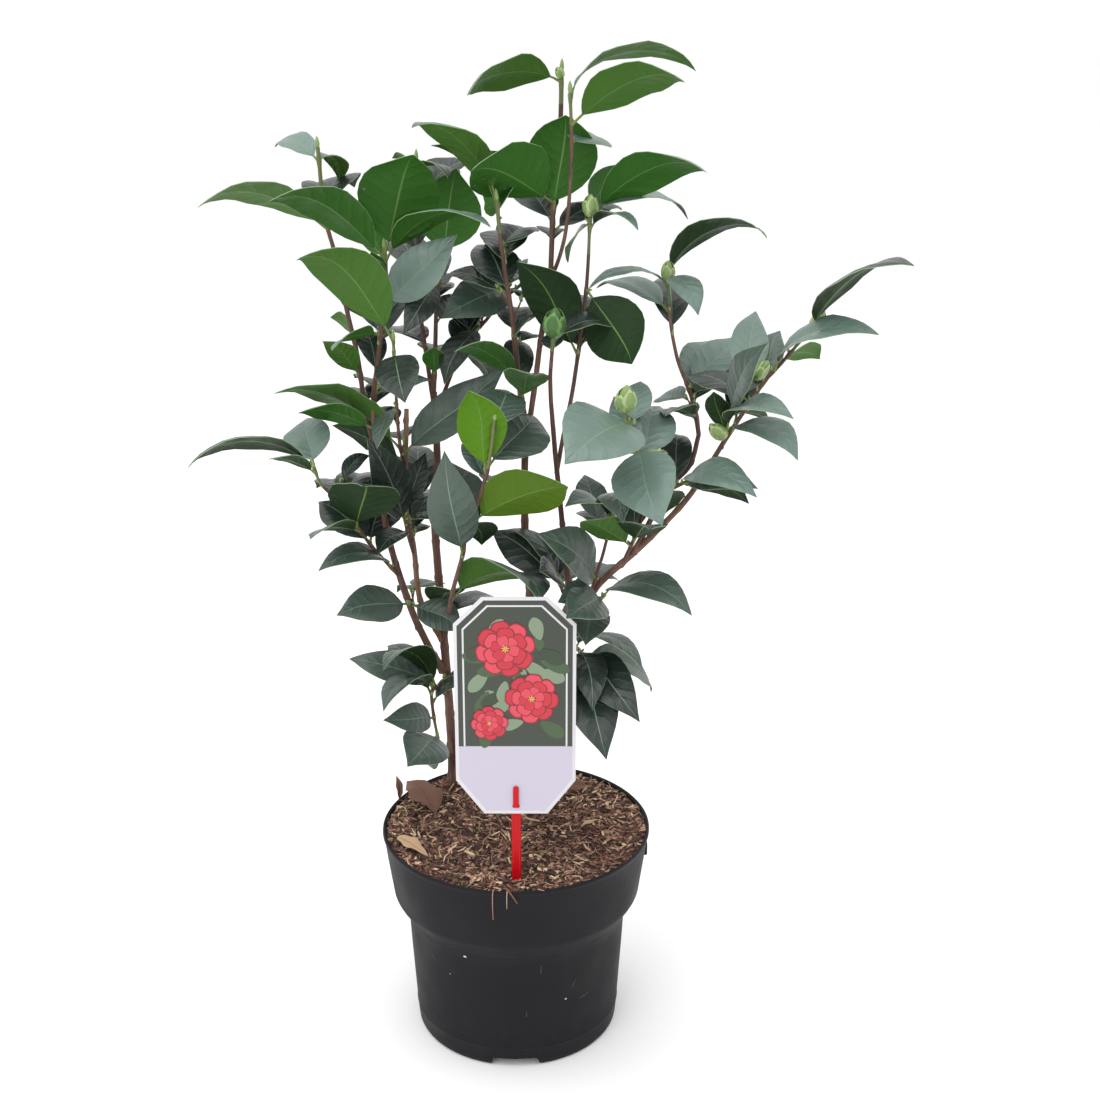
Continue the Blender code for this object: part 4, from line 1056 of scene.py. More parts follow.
        Shoot(((72, -18, 352), (81, -40, 387), (80, -52, 423), (76, -56, 442), (69, -58, 462)), 1.3, 0.9, (
            Leaf(0.94, -118, -4, 84, -45, BROAD), Leaf(0.72, 74, 22, 58, -65, BROAD),
            Leaf(0.80, -78, -28, 68, -75, BROAD), Leaf(0.14, -140, 30, 56, 60, FLAT, OLIVE),
            Leaf(0.18, -80, 30, 52, 60, BROAD, SHADE), Leaf(0.75, 110, 30, 50, -50, STRAP),
        ), (Bud(1.00, -70, 78, 17, 12), Bud(0.70, 10, 20, 18, 10))),
    ), 1, 0, PALE, 1),
    Mass("foliage_right_inner", "bough_right", (
        Shoot(((49, -10, 321), (55, -24, 348), (60, -30, 370), (63, -32, 395)), 1.3, 0.9, (
            Leaf(0.29, -130, 38, 74, -50, BOW), Leaf(1.00, -86, 6, 61, -55, HOOK),
            Leaf(0.88, -124, 22, 56, -20, ARCH), Leaf(0.29, 124, -6, 60, 20, BOW),
        ), ()),
    ), 2, 0, MIDDLE, 1),
    Mass("foliage_right_low", "bough_right", (
        Shoot(((47, -8, 316), (54, -24, 324), (58, -34, 333)), 1.2, 0.9, (
            Leaf(1.00, -46, 6, 76, -15, HOOK), Leaf(1.00, -114, 6, 60, -55, FLAT),
            Leaf(0.96, -150, 10, 40, -45, BROAD), Leaf(0.50, -98, -10, 50, -60, FLAT),
        ), ()),
    ), 1, 0, MIDDLE, 3),
    Mass("foliage_right_foot", "bough_middle", (
        Shoot(((32, 8, 275), (42, -14, 288), (44, -24, 288)), 1.2, 0.9, (
            Leaf(0.60, -50, 6, 66, 10, CURL), Leaf(0.92, -60, -16, 76, -30, ARCH, SHADE),
            Leaf(1.00, -84, -16, 62, -40, HOOK, SHADE), Leaf(0.94, 30, -36, 70, -25, ARCH),
            Leaf(0.80, -76, -34, 84, -30, ARCH, SHADE),
        ), ()),
    ), 2, 0, MIDDLE, 4),
)


# ---- the growth rule ---------------------------------------------------------
@dataclass(frozen=True)
class Gap:
    """A round gap of the crown, open to the sky from the front: its middle (right, up) and radius."""

    right: float
    up: float
    radius: float
    depth: ClassVar[float] = 20.0  # how far back the upright plane stands that gaps are drawn on

    def holds(self, point: Vector) -> bool:
        """Tells whether a point is seen in the gap.

        Args:
            point: The point.

        Returns:
            Whether it is seen there.
        """
        eye = Vector(EYE)
        seen = eye.lerp(point, (self.depth - eye.y) / (point.y - eye.y))
        return math.hypot(seen.x - self.right, seen.z - self.up) < self.radius


GAPS: tuple[Gap, ...] = (
    Gap(-50, 660, 25), Gap(5, 640, 20), Gap(-115, 635, 20), Gap(105, 630, 15), Gap(145, 585, 20),
    Gap(190, 560, 25), Gap(145, 530, 20), Gap(-145, 560, 15), Gap(70, 545, 10), Gap(10, 565, 10),
    Gap(-150, 480, 25), Gap(-165, 445, 15), Gap(85, 475, 15), Gap(55, 470, 10), Gap(230, 485, 15),
    Gap(210, 445, 25), Gap(165, 380, 15), Gap(-170, 380, 25), Gap(135, 350, 30), Gap(100, 340, 10),
    Gap(-145, 300, 30), Gap(75, 300, 15), Gap(110, 270, 25), Gap(-130, 235, 30), Gap(100, 205, 25),
    Gap(-110, 190, 20))


class Obstacle:
    """A piece that others keep clear of: its collision tree and a ball round it."""

    def __init__(self, corners: Line, faces: Sequence[Sequence[int]]) -> None:
        """Wraps a shape given by its corners and faces.

        Args:
            corners: Its corners.
            faces: Numbers of the corners of each face.
        """
        self.centre = sum(corners, Vector()) / len(corners)
        self.radius = max((corner - self.centre).length for corner in corners)
        self.tree = BVHTree.FromPolygons(corners, faces)

    @classmethod
    def solid(cls, node: bpy.types.Object) -> Obstacle:
        """Wraps one of the frame's solids."""
        corners = [vert.co / MM for vert in node.data.vertices]
        return cls(corners, [tuple(each.vertices) for each in node.data.polygons])

    def meets(self, other: Obstacle) -> bool:
        """Tells whether two pieces cross.

        Args:
            other: The other piece.

        Returns:
            Whether they cross.
        """
        if (self.centre - other.centre).length > self.radius + other.radius:
            return False
        return bool(self.tree.overlap(other.tree))


@dataclass(frozen=True)
class Placed:
    """A leaf in its final place: its row, its foot, its heading and its mass's tone."""

    leaf: Leaf
    foot: Vector
    heading: float
    tone: Tone


def rib_frame(foot: Vector, leaf: Leaf, heading: float, share: float) -> tuple[Vector, Vector, Vector]:
    """Follows a leaf's midrib.

    Args:
        foot: Foot of the leaf's stalk.
        leaf: The leaf.
        heading: Its heading, in degrees.
        share: Share of the midrib's curve.

    Returns:
        The point there, the direction across the blade and the upper side's normal.
    """
    along = polar(heading, leaf.rise)
    tilt = math.radians(leaf.facing)
    upper = Vector((0.0, math.sin(tilt), math.cos(tilt)))
    upper = (upper - upper.dot(along) * along).normalized()
    lift, hook = leaf.hold.lift, leaf.hold.hook
    tip = foot + along * leaf.length
    first = foot + GrowthRule.HANDLE * leaf.length * (math.cos(lift) * along + math.sin(lift) * upper)
    second = tip - GrowthRule.HANDLE * leaf.length * (math.cos(hook) * along - math.sin(hook) * upper)
    rest = 1 - share
    middle = (rest ** 3 * foot + 3 * rest ** 2 * share * first + 3 * rest * share ** 2 * second
              + share ** 3 * tip)
    run = rest ** 2 * (first - foot) + 2 * rest * share * (second - first) + share ** 2 * (tip - second)
    side = run.cross(upper).normalized()
    return middle, side, side.cross(run).normalized()


class GrowthRule:
    """The growth rule: its numbers, and the coarse shapes that it tests."""

    STATIONS = ((0.00, 0.00), (0.12, 0.06), (0.34, 0.47), (0.66, 0.42), (1.00, 0.00))
    BUD_STATIONS = ((0.00, 0.50), (0.30, 1.00), (0.65, 0.85), (1.00, 0.12))
    BUD_SIDES = 6
    STALK_END = 1                  # the station where the stalk becomes a blade
    FOLD = math.radians(14)
    THICKNESS = 0.017              # over the leaf's length
    STALK_RADIUS = 0.75
    FOOT_OFFSET = 0.5              # from the stem's middle to a leaf's foot, over the stem's radius
    HANDLE = 0.36                  # reach of the midrib's curve handles over the leaf's length
    SWINGS = (0, 6, -6, 12, -12, 18, -18, 26, -26)
    TRIES = ((0, 0), (4, 0), (-4, 0), (0, 4), (0, -4), (8, 0), (-8, 0), (0, 8), (0, -8), (7, 7), (7, -7),
             (-7, 7), (-7, -7), (13, 0), (-13, 0), (0, 13), (0, -13))
    CLEARANCE = 0.9
    SPIRAL = 144.0                 # turn from one leaf to the next, in degrees
    TWIG_LENGTH = (16.0, 26.0)
    TWIG_RADIUS = 0.9
    TWIG_TAPER = 0.8
    TWIG_RISE = (20.0, 50.0)
    TWIG_SHARE = (0.35, 0.75)
    TWIG_LEAVES = 3
    TWIG_LEAF_STEP = 0.25
    REAR = (62.0, 128.0)           # headings of the seeded growth
    REAR_SHARE = (0.15, 0.70)
    REAR_LEAF_LENGTH = (46.0, 66.0)
    REAR_LEAF_RISE = (-10.0, 30.0)
    REAR_FACING = (-20.0, 30.0)
    REAR_HABITS = (ARCH, BOW, HOOK)
    GAP_SHARES = (0.35, 0.6, 0.85)
    MASS_REACH = 96.0              # how far a seeded tip may be from its mass's stem
    SHOOT_SIDES = 4
    SHOOT_STEP = 15.0

    @classmethod
    def test_blade(cls, foot: Vector, leaf: Leaf, heading: float, grown: float = 0.0,
                   start: int = 0) -> Obstacle:
        """Makes a coarse leaf, to test leaves against other pieces.

        Args:
            foot: Foot of the stalk.
            leaf: The leaf.
            heading: Its heading, in degrees.
            grown: Clearance that it is grown by.
            start: The station that it starts from.

        Returns:
            The leaf as an obstacle.
        """
        corners: list[Vector] = []
        faces: list[tuple[int, ...]] = []
        for index, (share, half_breadth) in enumerate(cls.STATIONS[start:], start):
            middle, side, normal = rib_frame(foot, leaf, heading, share)
            if share == 1.0:
                tip = len(corners)
                corners.append(middle)
                faces += [(tip - 4 + n, tip - 4 + (n + 1) % 4, tip) for n in range(4)]
                continue
            thick = cls.THICKNESS * leaf.length / 2
            half, fold = half_breadth * leaf.hold.breadth * leaf.length, cls.FOLD
            if index <= cls.STALK_END:
                thick, half, fold = max(thick, cls.STALK_RADIUS), max(half, cls.STALK_RADIUS), 0.0
            edge = (half + grown) * math.cos(fold) * side
            raised = (half + grown) * math.sin(fold) * normal
            skin = (thick + grown) * normal
            low = len(corners) - 4
            corners += [middle + raised + edge, middle + skin, middle + raised - edge, middle - skin]
            if low >= 0:
                for n in range(4):
                    a, b, c, d = low + n, low + (n + 1) % 4, low + 4 + n, low + 4 + (n + 1) % 4
                    faces += [(a, b, c), (b, d, c)] if n % 2 == 0 else [(a, b, d), (a, d, c)]
        faces.append((3, 2, 1, 0))
        return Obstacle(corners, faces)

    @staticmethod
    def test_tube(line: Line, radii: Sequence[float], sides: int) -> Obstacle:
        """Makes a coarse tube, to test stems and buds against other pieces.

        Args:
            line: Points of its middle.
            radii: Radius at each point.
            sides: Number of its sides.

        Returns:
            The tube as an obstacle.
        """
        corners: list[Vector] = []
        faces: list[tuple[int, ...]] = []
        for index, (centre, (across, up)) in enumerate(zip(line, frames_along(line))):
            low = len(corners) - sides
            for side in range(sides):
                angle = 2 * math.pi * side / sides
                corners.append(centre + radii[index] * (math.cos(angle) * across + math.sin(angle) * up))
            if index:
                faces += [(low + n, low + (n + 1) % sides, low + sides + (n + 1) % sides, low + sides + n)
                          for n in range(sides)]
        last = len(corners) - sides
        faces += [tuple(range(sides))[::-1], tuple(range(last, last + sides))]
        return Obstacle(corners, faces)


class Growth:
    """What grows in one mass, and what the other masses keep clear of."""

    def __init__(self, mass: Mass, limbs: dict[str, Obstacle], fixed: list[Obstacle]) -> None:
        """Starts a mass on its limb.

        Args:
            mass: Its row.
            limbs: Obstacle of each trunk and bough.
            fixed: Obstacles of the pot, the compost and the label.
        """
        self.mass = mass
        self.limb = limbs[mass.limb]
        self.fixed = [piece for name, piece in limbs.items() if name != mass.limb] + fixed
        self.chance = random.Random(mass.name)
        self.obstacles: list[Obstacle] = []
        self.blades: list[Obstacle] = []
        self.leaves: list[Placed] = []
        self.twigs: list[tuple[Vector, Vector, float]] = []
        self.spine = smooth_route(mass.shoots[0].route, GrowthRule.SHOOT_STEP)

    def others(self, growths: Sequence[Growth]) -> list[Obstacle]:
        """Lists what the other masses hold, which this one keeps clear of."""
        return [piece for growth in growths if growth is not self for piece in growth.obstacles]

    def add_shoots(self) -> None:
        """Adds the stems of the mass, with their flower buds."""
        for shoot in self.mass.shoots:
            stem = smooth_route(shoot.route, GrowthRule.SHOOT_STEP)
            radii = taper(stem, shoot.foot_radius, shoot.tip_radius)
            self.obstacles.append(GrowthRule.test_tube(stem, radii, GrowthRule.SHOOT_SIDES))
            for bud in shoot.buds:
                foot = point_at(stem, bud.share)
                along = polar(bud.heading, bud.rise) * bud.length
                line = [foot + along * share for share, _ in GrowthRule.BUD_STATIONS]
                radii = [bud.breadth / 2 * width for _, width in GrowthRule.BUD_STATIONS]
                self.obstacles.append(GrowthRule.test_tube(line, radii, GrowthRule.BUD_SIDES))

    def add_leaves(self, growths: Sequence[Growth]) -> None:
        """Adds the leaves that give the mass its outline.

        Args:
            growths: All the masses.
        """
        others = self.others(growths)
        for shoot in self.mass.shoots:
            line = smooth_route(shoot.route, GrowthRule.SHOOT_STEP)
            for leaf in shoot.leaves:
                offset = polar(leaf.heading, 0) * shoot.tip_radius * GrowthRule.FOOT_OFFSET
                self.add_leaf(point_at(line, leaf.share) + offset, leaf, others, outline=True)

    def add_leaf(self, foot: Vector, leaf: Leaf, others: Sequence[Obstacle], strict: bool = False,
                 outline: bool = False) -> bool:
        """Adds a leaf, swung by small steps until it is clear, or leaves it out.

        Args:
            foot: Foot of its stalk.
            leaf: The leaf.
            others: What the other masses hold.
            strict: Whether it keeps clear of the mass's own leaves too.
            outline: Whether it gives the crown its outline, and so stays where only other leaves are met.

        Returns:
            Whether it was added.
        """
        clear = 0.0 if outline else GrowthRule.CLEARANCE
        tries = GrowthRule.TRIES if outline else [(swing, 0) for swing in GrowthRule.SWINGS]
        met_none, met_own, met_others, not_tried = range(4)
        best, least = None, not_tried
        for swing, nod in tries:
            tried, heading = replace(leaf, rise=leaf.rise + nod), leaf.heading + swing
            whole = GrowthRule.test_blade(foot, tried, heading, clear)
            outer = GrowthRule.test_blade(foot, tried, heading, clear, GrowthRule.STALK_END)
            if outer.meets(self.limb) or any(whole.meets(other) for other in self.fixed):
                continue
            met = met_own if any(outer.meets(other) for other in self.blades) else met_none
            if any(whole.meets(other) for other in others):
                met = met_others
            if met < least and (met == met_none or not strict) and (met < met_others or outline):
                best, least = Placed(tried, foot, heading, leaf.tone or self.mass.tone), met
            if met == met_none:
                break
        if best is None:
            return False
        self.obstacles.append(GrowthRule.test_blade(foot, best.leaf, best.heading))
        self.blades.append(GrowthRule.test_blade(foot, best.leaf, best.heading, clear, GrowthRule.STALK_END))
        self.leaves.append(best)
        return True

    def seeded_leaf(self, foot: Vector, turn: float, others: Sequence[Obstacle]) -> None:
        """Adds a leaf of the seeded growth, which fills the far side of the crown.

        Args:
            foot: Foot of its stalk.
            turn: Turn of the spiral, in degrees.
            others: What the other masses hold.
        """
        rule = GrowthRule
        heading = between(rule.REAR, turn % 360 / 360)
        # Every rear leaf takes the SHADE tone: painted shade, darker skins on both of its sides.
        leaf = Leaf(0.0, heading, self.chance.uniform(*rule.REAR_LEAF_RISE),
                    self.chance.uniform(*rule.REAR_LEAF_LENGTH), self.chance.uniform(*rule.REAR_FACING),
                    self.chance.choice(rule.REAR_HABITS), SHADE)
        tip = foot + polar(heading, leaf.rise) * leaf.length
        nearest = min(self.spine, key=lambda knot: (knot - foot).length)
        if (tip - nearest).length < rule.MASS_REACH and self.is_clear_of_gaps(foot, leaf):
            self.add_leaf(foot, leaf, others)

    @staticmethod
    def is_clear_of_gaps(foot: Vector, leaf: Leaf) -> bool:
        """Tells whether a leaf leaves the crown's gaps open, apart from one spot of it at most.

        Args:
            foot: Foot of its stalk.
            leaf: The leaf.

        Returns:
            Whether it does.
        """
        along = polar(leaf.heading, leaf.rise) * leaf.length
        spots = [foot + along * share for share in GrowthRule.GAP_SHARES]
        return sum(any(gap.holds(spot) for gap in GAPS) for spot in spots) < 2

    def clear_twig(self, foot: Vector, end: Vector, radius: float,
                   others: Sequence[Obstacle]) -> Optional[Obstacle]:
        """Gives a side twig as an obstacle, or nothing where it would meet another piece."""
        twig = GrowthRule.test_tube([foot, end], [radius, radius * GrowthRule.TWIG_TAPER],
                                    GrowthRule.SHOOT_SIDES)
        return None if any(twig.meets(other) for other in [*others, *self.fixed]) else twig

    def add_seeded_growth(self, growths: Sequence[Growth]) -> None:
        """Adds leaves and side twigs by the seeded rule, two fifths of a turn apart.

        Args:
            growths: All the masses.
        """
        rule = GrowthRule
        others = self.others(growths)
        turn = self.chance.uniform(0, 360)
        for index in range(self.mass.rear_leaves):
            turn += rule.SPIRAL
            share = between(rule.REAR_SHARE, (index + self.chance.random()) / self.mass.rear_leaves)
            self.seeded_leaf(point_at(self.spine, share), turn, others)
        for _ in range(self.mass.twigs):
            turn += rule.SPIRAL
            foot = point_at(self.spine, self.chance.uniform(*rule.TWIG_SHARE))
            along = polar(between(rule.REAR, turn % 360 / 360), self.chance.uniform(*rule.TWIG_RISE))
            end = foot + along * self.chance.uniform(*rule.TWIG_LENGTH)
            twig = self.clear_twig(foot, end, rule.TWIG_RADIUS, others)
            if twig is None:
                continue
            self.obstacles.append(twig)
            self.twigs.append((foot, end, rule.TWIG_RADIUS))
            for number in range(rule.TWIG_LEAVES):
                turn += rule.SPIRAL
                self.seeded_leaf(foot.lerp(end, 1.0 - rule.TWIG_LEAF_STEP * number), turn, others)

    def add_fine_growth(self, growths: Sequence[Growth], size: FineGrowth) -> None:
        """Carries the rule on to finer twigs, each with small leaves, within the same reach.

        Args:
            growths: All the masses.
            size: Sizes of the fine growth.
        """
        chance = random.Random(self.mass.name + " fine")
        others = self.others(growths)
        turn = chance.uniform(0, 360)
        for number in range(self.mass.fine_twigs):
            turn += GrowthRule.SPIRAL
            shoot = self.mass.shoots[number % len(self.mass.shoots)]
            line = smooth_route(shoot.route, GrowthRule.SHOOT_STEP)
            foot = point_at(line, chance.uniform(*size.share))
            heading = between(size.headings, turn % 360 / 360)
            end = foot + polar(heading, chance.uniform(*size.rise)) * chance.uniform(*size.length)
            twig = self.clear_twig(foot, end, size.radius, others)
            if twig is None:
                continue
            leaves = []
            for _ in range(size.leaves):
                turn += GrowthRule.SPIRAL
                leaves.append(Leaf(0.0, heading + chance.uniform(*size.fan), chance.uniform(*size.leaf_rise),
                                   chance.uniform(*size.leaf_length), chance.uniform(*size.facing),
                                   chance.choice(size.habits)))
            feet = [foot.lerp(end, 1.0 - size.leaf_step * count) for count in range(size.leaves)]
            grown = [self.is_clear_of_gaps(end, leaf) and self.add_leaf(start, leaf, others, strict=True)
                     for start, leaf in zip(feet, leaves)]
            if any(grown):
                self.obstacles.append(twig)
                self.twigs.append((foot, end, size.radius))


@dataclass(frozen=True)
class FineGrowth:
    """Spans of the finer twigs and of the small leaves on them."""

    share: Span = (0.1, 0.9)
    headings: Span = (40.0, 150.0)
    rise: Span = (10.0, 60.0)
    length: Span = (6.0, 14.0)
    radius: float = 0.7
    leaves: int = 2
    leaf_step: float = 0.3
    fan: Span = (-50.0, 50.0)
    leaf_rise: Span = (-20.0, 40.0)
    leaf_length: Span = (24.0, 44.0)
    facing: Span = (-40.0, 40.0)
    habits: tuple[Habit, ...] = (ARCH, BOW, BROAD)


def grow_all(nodes: dict[str, bpy.types.Object], fine: FineGrowth) -> list[Growth]:
    """Grows all masses, clear of the limbs, the label, the pot and each other.

    Args:
        nodes: The frame's solids by name.
        fine: Sizes of the fine growth.

    Returns:
        The grown masses, in the order of their rows.
    """
    limbs = {limb.name: Obstacle.solid(nodes[limb.name]) for limb in LIMBS}
    fixed = [Obstacle.solid(nodes[name]) for name in ("pot", "compost", "label_card", "label_stick")]
    growths = [Growth(mass, limbs, fixed) for mass in MASSES]
    for growth in growths:
        growth.add_shoots()
    for growth in growths:
        growth.add_leaves(growths)
    for growth in growths:
        growth.add_seeded_growth(growths)
    for growth in growths:
        growth.add_fine_growth(growths, fine)
    return growths


# ---- trunks and boughs -------------------------------------------------------
@dataclass
class Wood:
    """The two trunks and the boughs, with their bark in relief."""

    limbs: tuple[Limb, ...] = LIMBS
    sides: int = 16
    step: float = 2.0
    flare: float = 0.85            # how much wider a trunk is at its foot, over its radius
    flare_height: float = 9.0
    flare_ribs: float = 0.22
    sunk: float = 6.0              # how far a trunk's foot goes into the compost
    furrow: float = 0.16           # depth of the bark's relief
    node_spacing: float = 27.0     # from one old leaf's scar to the next
    node_height: float = 0.34
    node_length: float = 1.5
    scar_height: float = 0.55
    scar_length: float = 1.4
    scar_turn: float = 0.5         # half its width, in radians
    collar: float = 0.45           # how much wider a bough is where it leaves its parent
    collar_height: float = 5.0
    bark: Bark = Bark("bark", (74, 49, 43), (112, 80, 66), (142, 114, 96))
    bark_young: Bark = Bark("bark_tan", (104, 76, 58), (134, 104, 82), (158, 134, 110))

    def relief(self, limb: Limb) -> Callable[[float, float], float]:
        """Gives the height of a limb's bark.

        Args:
            limb: The limb.

        Returns:
            A function of the angle round the limb and the length along it.
        """
        chance = random.Random(limb.name + " bark")
        shift = chance.uniform(0, 100)
        first = chance.uniform(0.3, 1.0) * self.node_spacing

        def height(angle: float, along: float) -> float:
            """Adds up furrows, rings and leaf scars at one spot.

            Args:
                angle: Angle round the limb.
                along: Length along it.

            Returns:
                The bark's height.
            """
            ring = Vector((math.cos(angle) * 1.3, math.sin(angle) * 1.3, along * 0.07 + shift))
            made = self.furrow * (noise.noise(ring) + 0.6 * noise.noise(ring * 2.7))
            number = round((along - first) / self.node_spacing)
            off = along - first - number * self.node_spacing
            made += self.node_height * math.exp(-(off / self.node_length) ** 2)
            scar = math.radians(GrowthRule.SPIRAL * number)
            turn = (angle - scar + math.pi) % (2 * math.pi) - math.pi
            below = (off + 0.8) / self.scar_length
            made += self.scar_height * math.exp(-(turn / self.scar_turn) ** 2 - below ** 2)
            if limb.parent:
                return made + self.collar * limb.foot_radius * math.exp(-along / self.collar_height)
            rib = 1 + self.flare_ribs * math.cos(5 * angle + shift)
            fade = math.exp(-max(0.0, along - self.sunk) / self.flare_height)
            return made + self.flare * limb.foot_radius * rib * fade

        return height

    def build_limb(self, limb: Limb) -> None:
        """Builds one trunk or bough in place of its solid.

        Args:
            limb: The limb.
        """
        line = smooth_route(limb.route, self.step)
        if limb.parent is None:
            line.insert(0, line[0] - Vector((0, 0, self.sunk)))
        builder = bmesh.new()
        tube(builder, line, taper(line, limb.foot_radius, limb.tip_radius), self.sides, self.relief(limb))
        skin = self.bark_young if limb.name == "cane_left" else self.bark
        piece = finished("bark_" + limb.name, builder, [skin.make()], 50.0)
        deliver(piece, "bark", limb.name)

    def build(self) -> None:
        """Builds all trunks and boughs."""
        for limb in self.limbs:
            self.build_limb(limb)


# ---- leaves, twigs and buds --------------------------------------------------
@dataclass(frozen=True)
class LeafCage:
    """The grid that every leaf is bent from: closed round its section, stalk and blade in one skin."""

    stations: tuple[Pair, ...] = (
        (0.000, 0.000), (0.000, 0.000), (0.055, 0.000), (0.100, 0.012), (0.135, 0.130), (0.180, 0.245),
        (0.245, 0.360), (0.325, 0.446), (0.415, 0.492), (0.510, 0.496), (0.605, 0.462), (0.695, 0.392),
        (0.780, 0.296), (0.855, 0.192), (0.920, 0.098), (0.970, 0.036), (1.000, 0.000))
    across: tuple[float, ...] = (-1.0, -0.70, -0.36, -0.024, 0.024, 0.36, 0.70, 1.0)
    stalk_rows: int = 3            # rows of faces that the stalk takes
    stalk_share: float = 0.1       # share of the length that the stalk takes
    stalk_radius: float = 0.80
    stalk_swell: float = 1.35      # breadth of the stalk's foot over the stalk's
    thickness: float = 0.42
    rib_drop: float = 0.32         # how far the midrib stands out below
    rib_sink: float = 0.12
    rib_width: float = 0.09        # over the half breadth
    pitch: float = 10.0            # rows or columns of the flat cage to one unit

    @property
    def columns(self) -> int:
        """Number of corners round the section."""
        return 2 * len(self.across)

    def role(self, row: int, column: int) -> int:
        """Names the part of the leaf that a face belongs to.

        Args:
            row: Row of the face.
            column: Column of the face.

        Returns:
            0 above, 1 below, 2 midrib above, 3 midrib below, 4 edge, 5 stalk.
        """
        width = len(self.across)
        if row < self.stalk_rows:
            return 5
        if column % width == width - 1:
            return 4
        side = 0 if column < width else 1
        return side + 2 if column % width == width // 2 - 1 else side

    def template(self) -> Mesh:
        """Makes the flat cage, whose corners stand at their row and column.

        Returns:
            The cage.
        """
        builder = bmesh.new()
        wide = len(self.across)

        def chart(row: int, column: int) -> Pair:
            """Lays the veins along the blade, alike on both sides.

            Args:
                row: Row of the corner.
                column: Column of the corner.

            Returns:
                Its place along and across the blade.
            """
            spot = column % self.columns
            across = self.across[spot] if spot < wide else -self.across[spot - wide]
            return self.stations[row][0], (across + 1) / 2

        grid_piece(builder, len(self.stations), self.columns + 1,
                   lambda row, column: Vector((row, column, 0)) / self.pitch, chart, self.role)
        return builder

    def place_of(self, corner: Vector) -> tuple[int, int]:
        """Reads the row and column of a corner off the flat cage."""
        return round(corner.x * self.pitch), round(corner.y * self.pitch)


@dataclass(frozen=True)
class LeafForm:
    """The bends that make one leaf unlike the next."""

    fold: float                    # rise of each half from the midrib, in degrees
    droop: float                   # how far the edges curl back, over the half breadth
    twist: float                   # turn of the blade from stalk to tip, in degrees
    wave: float                    # height of the wavy edge over the half breadth
    waves: float                   # number of waves along the edge
    phase: float
    bias: float                    # sideways bend of the tip over the length
    width: float                   # breadth against its habit's

    @classmethod
    def drawn(cls, chance: random.Random) -> LeafForm:
        """Draws a form by chance.

        Args:
            chance: Source of its chances.

        Returns:
            The form.
        """
        return cls(chance.uniform(8, 24), chance.uniform(0.08, 0.22), chance.uniform(-15, 15),
                   chance.uniform(0.02, 0.07), chance.uniform(1.6, 3.2), chance.uniform(0, 6.28),
                   chance.uniform(-0.06, 0.06), chance.uniform(0.96, 1.06))


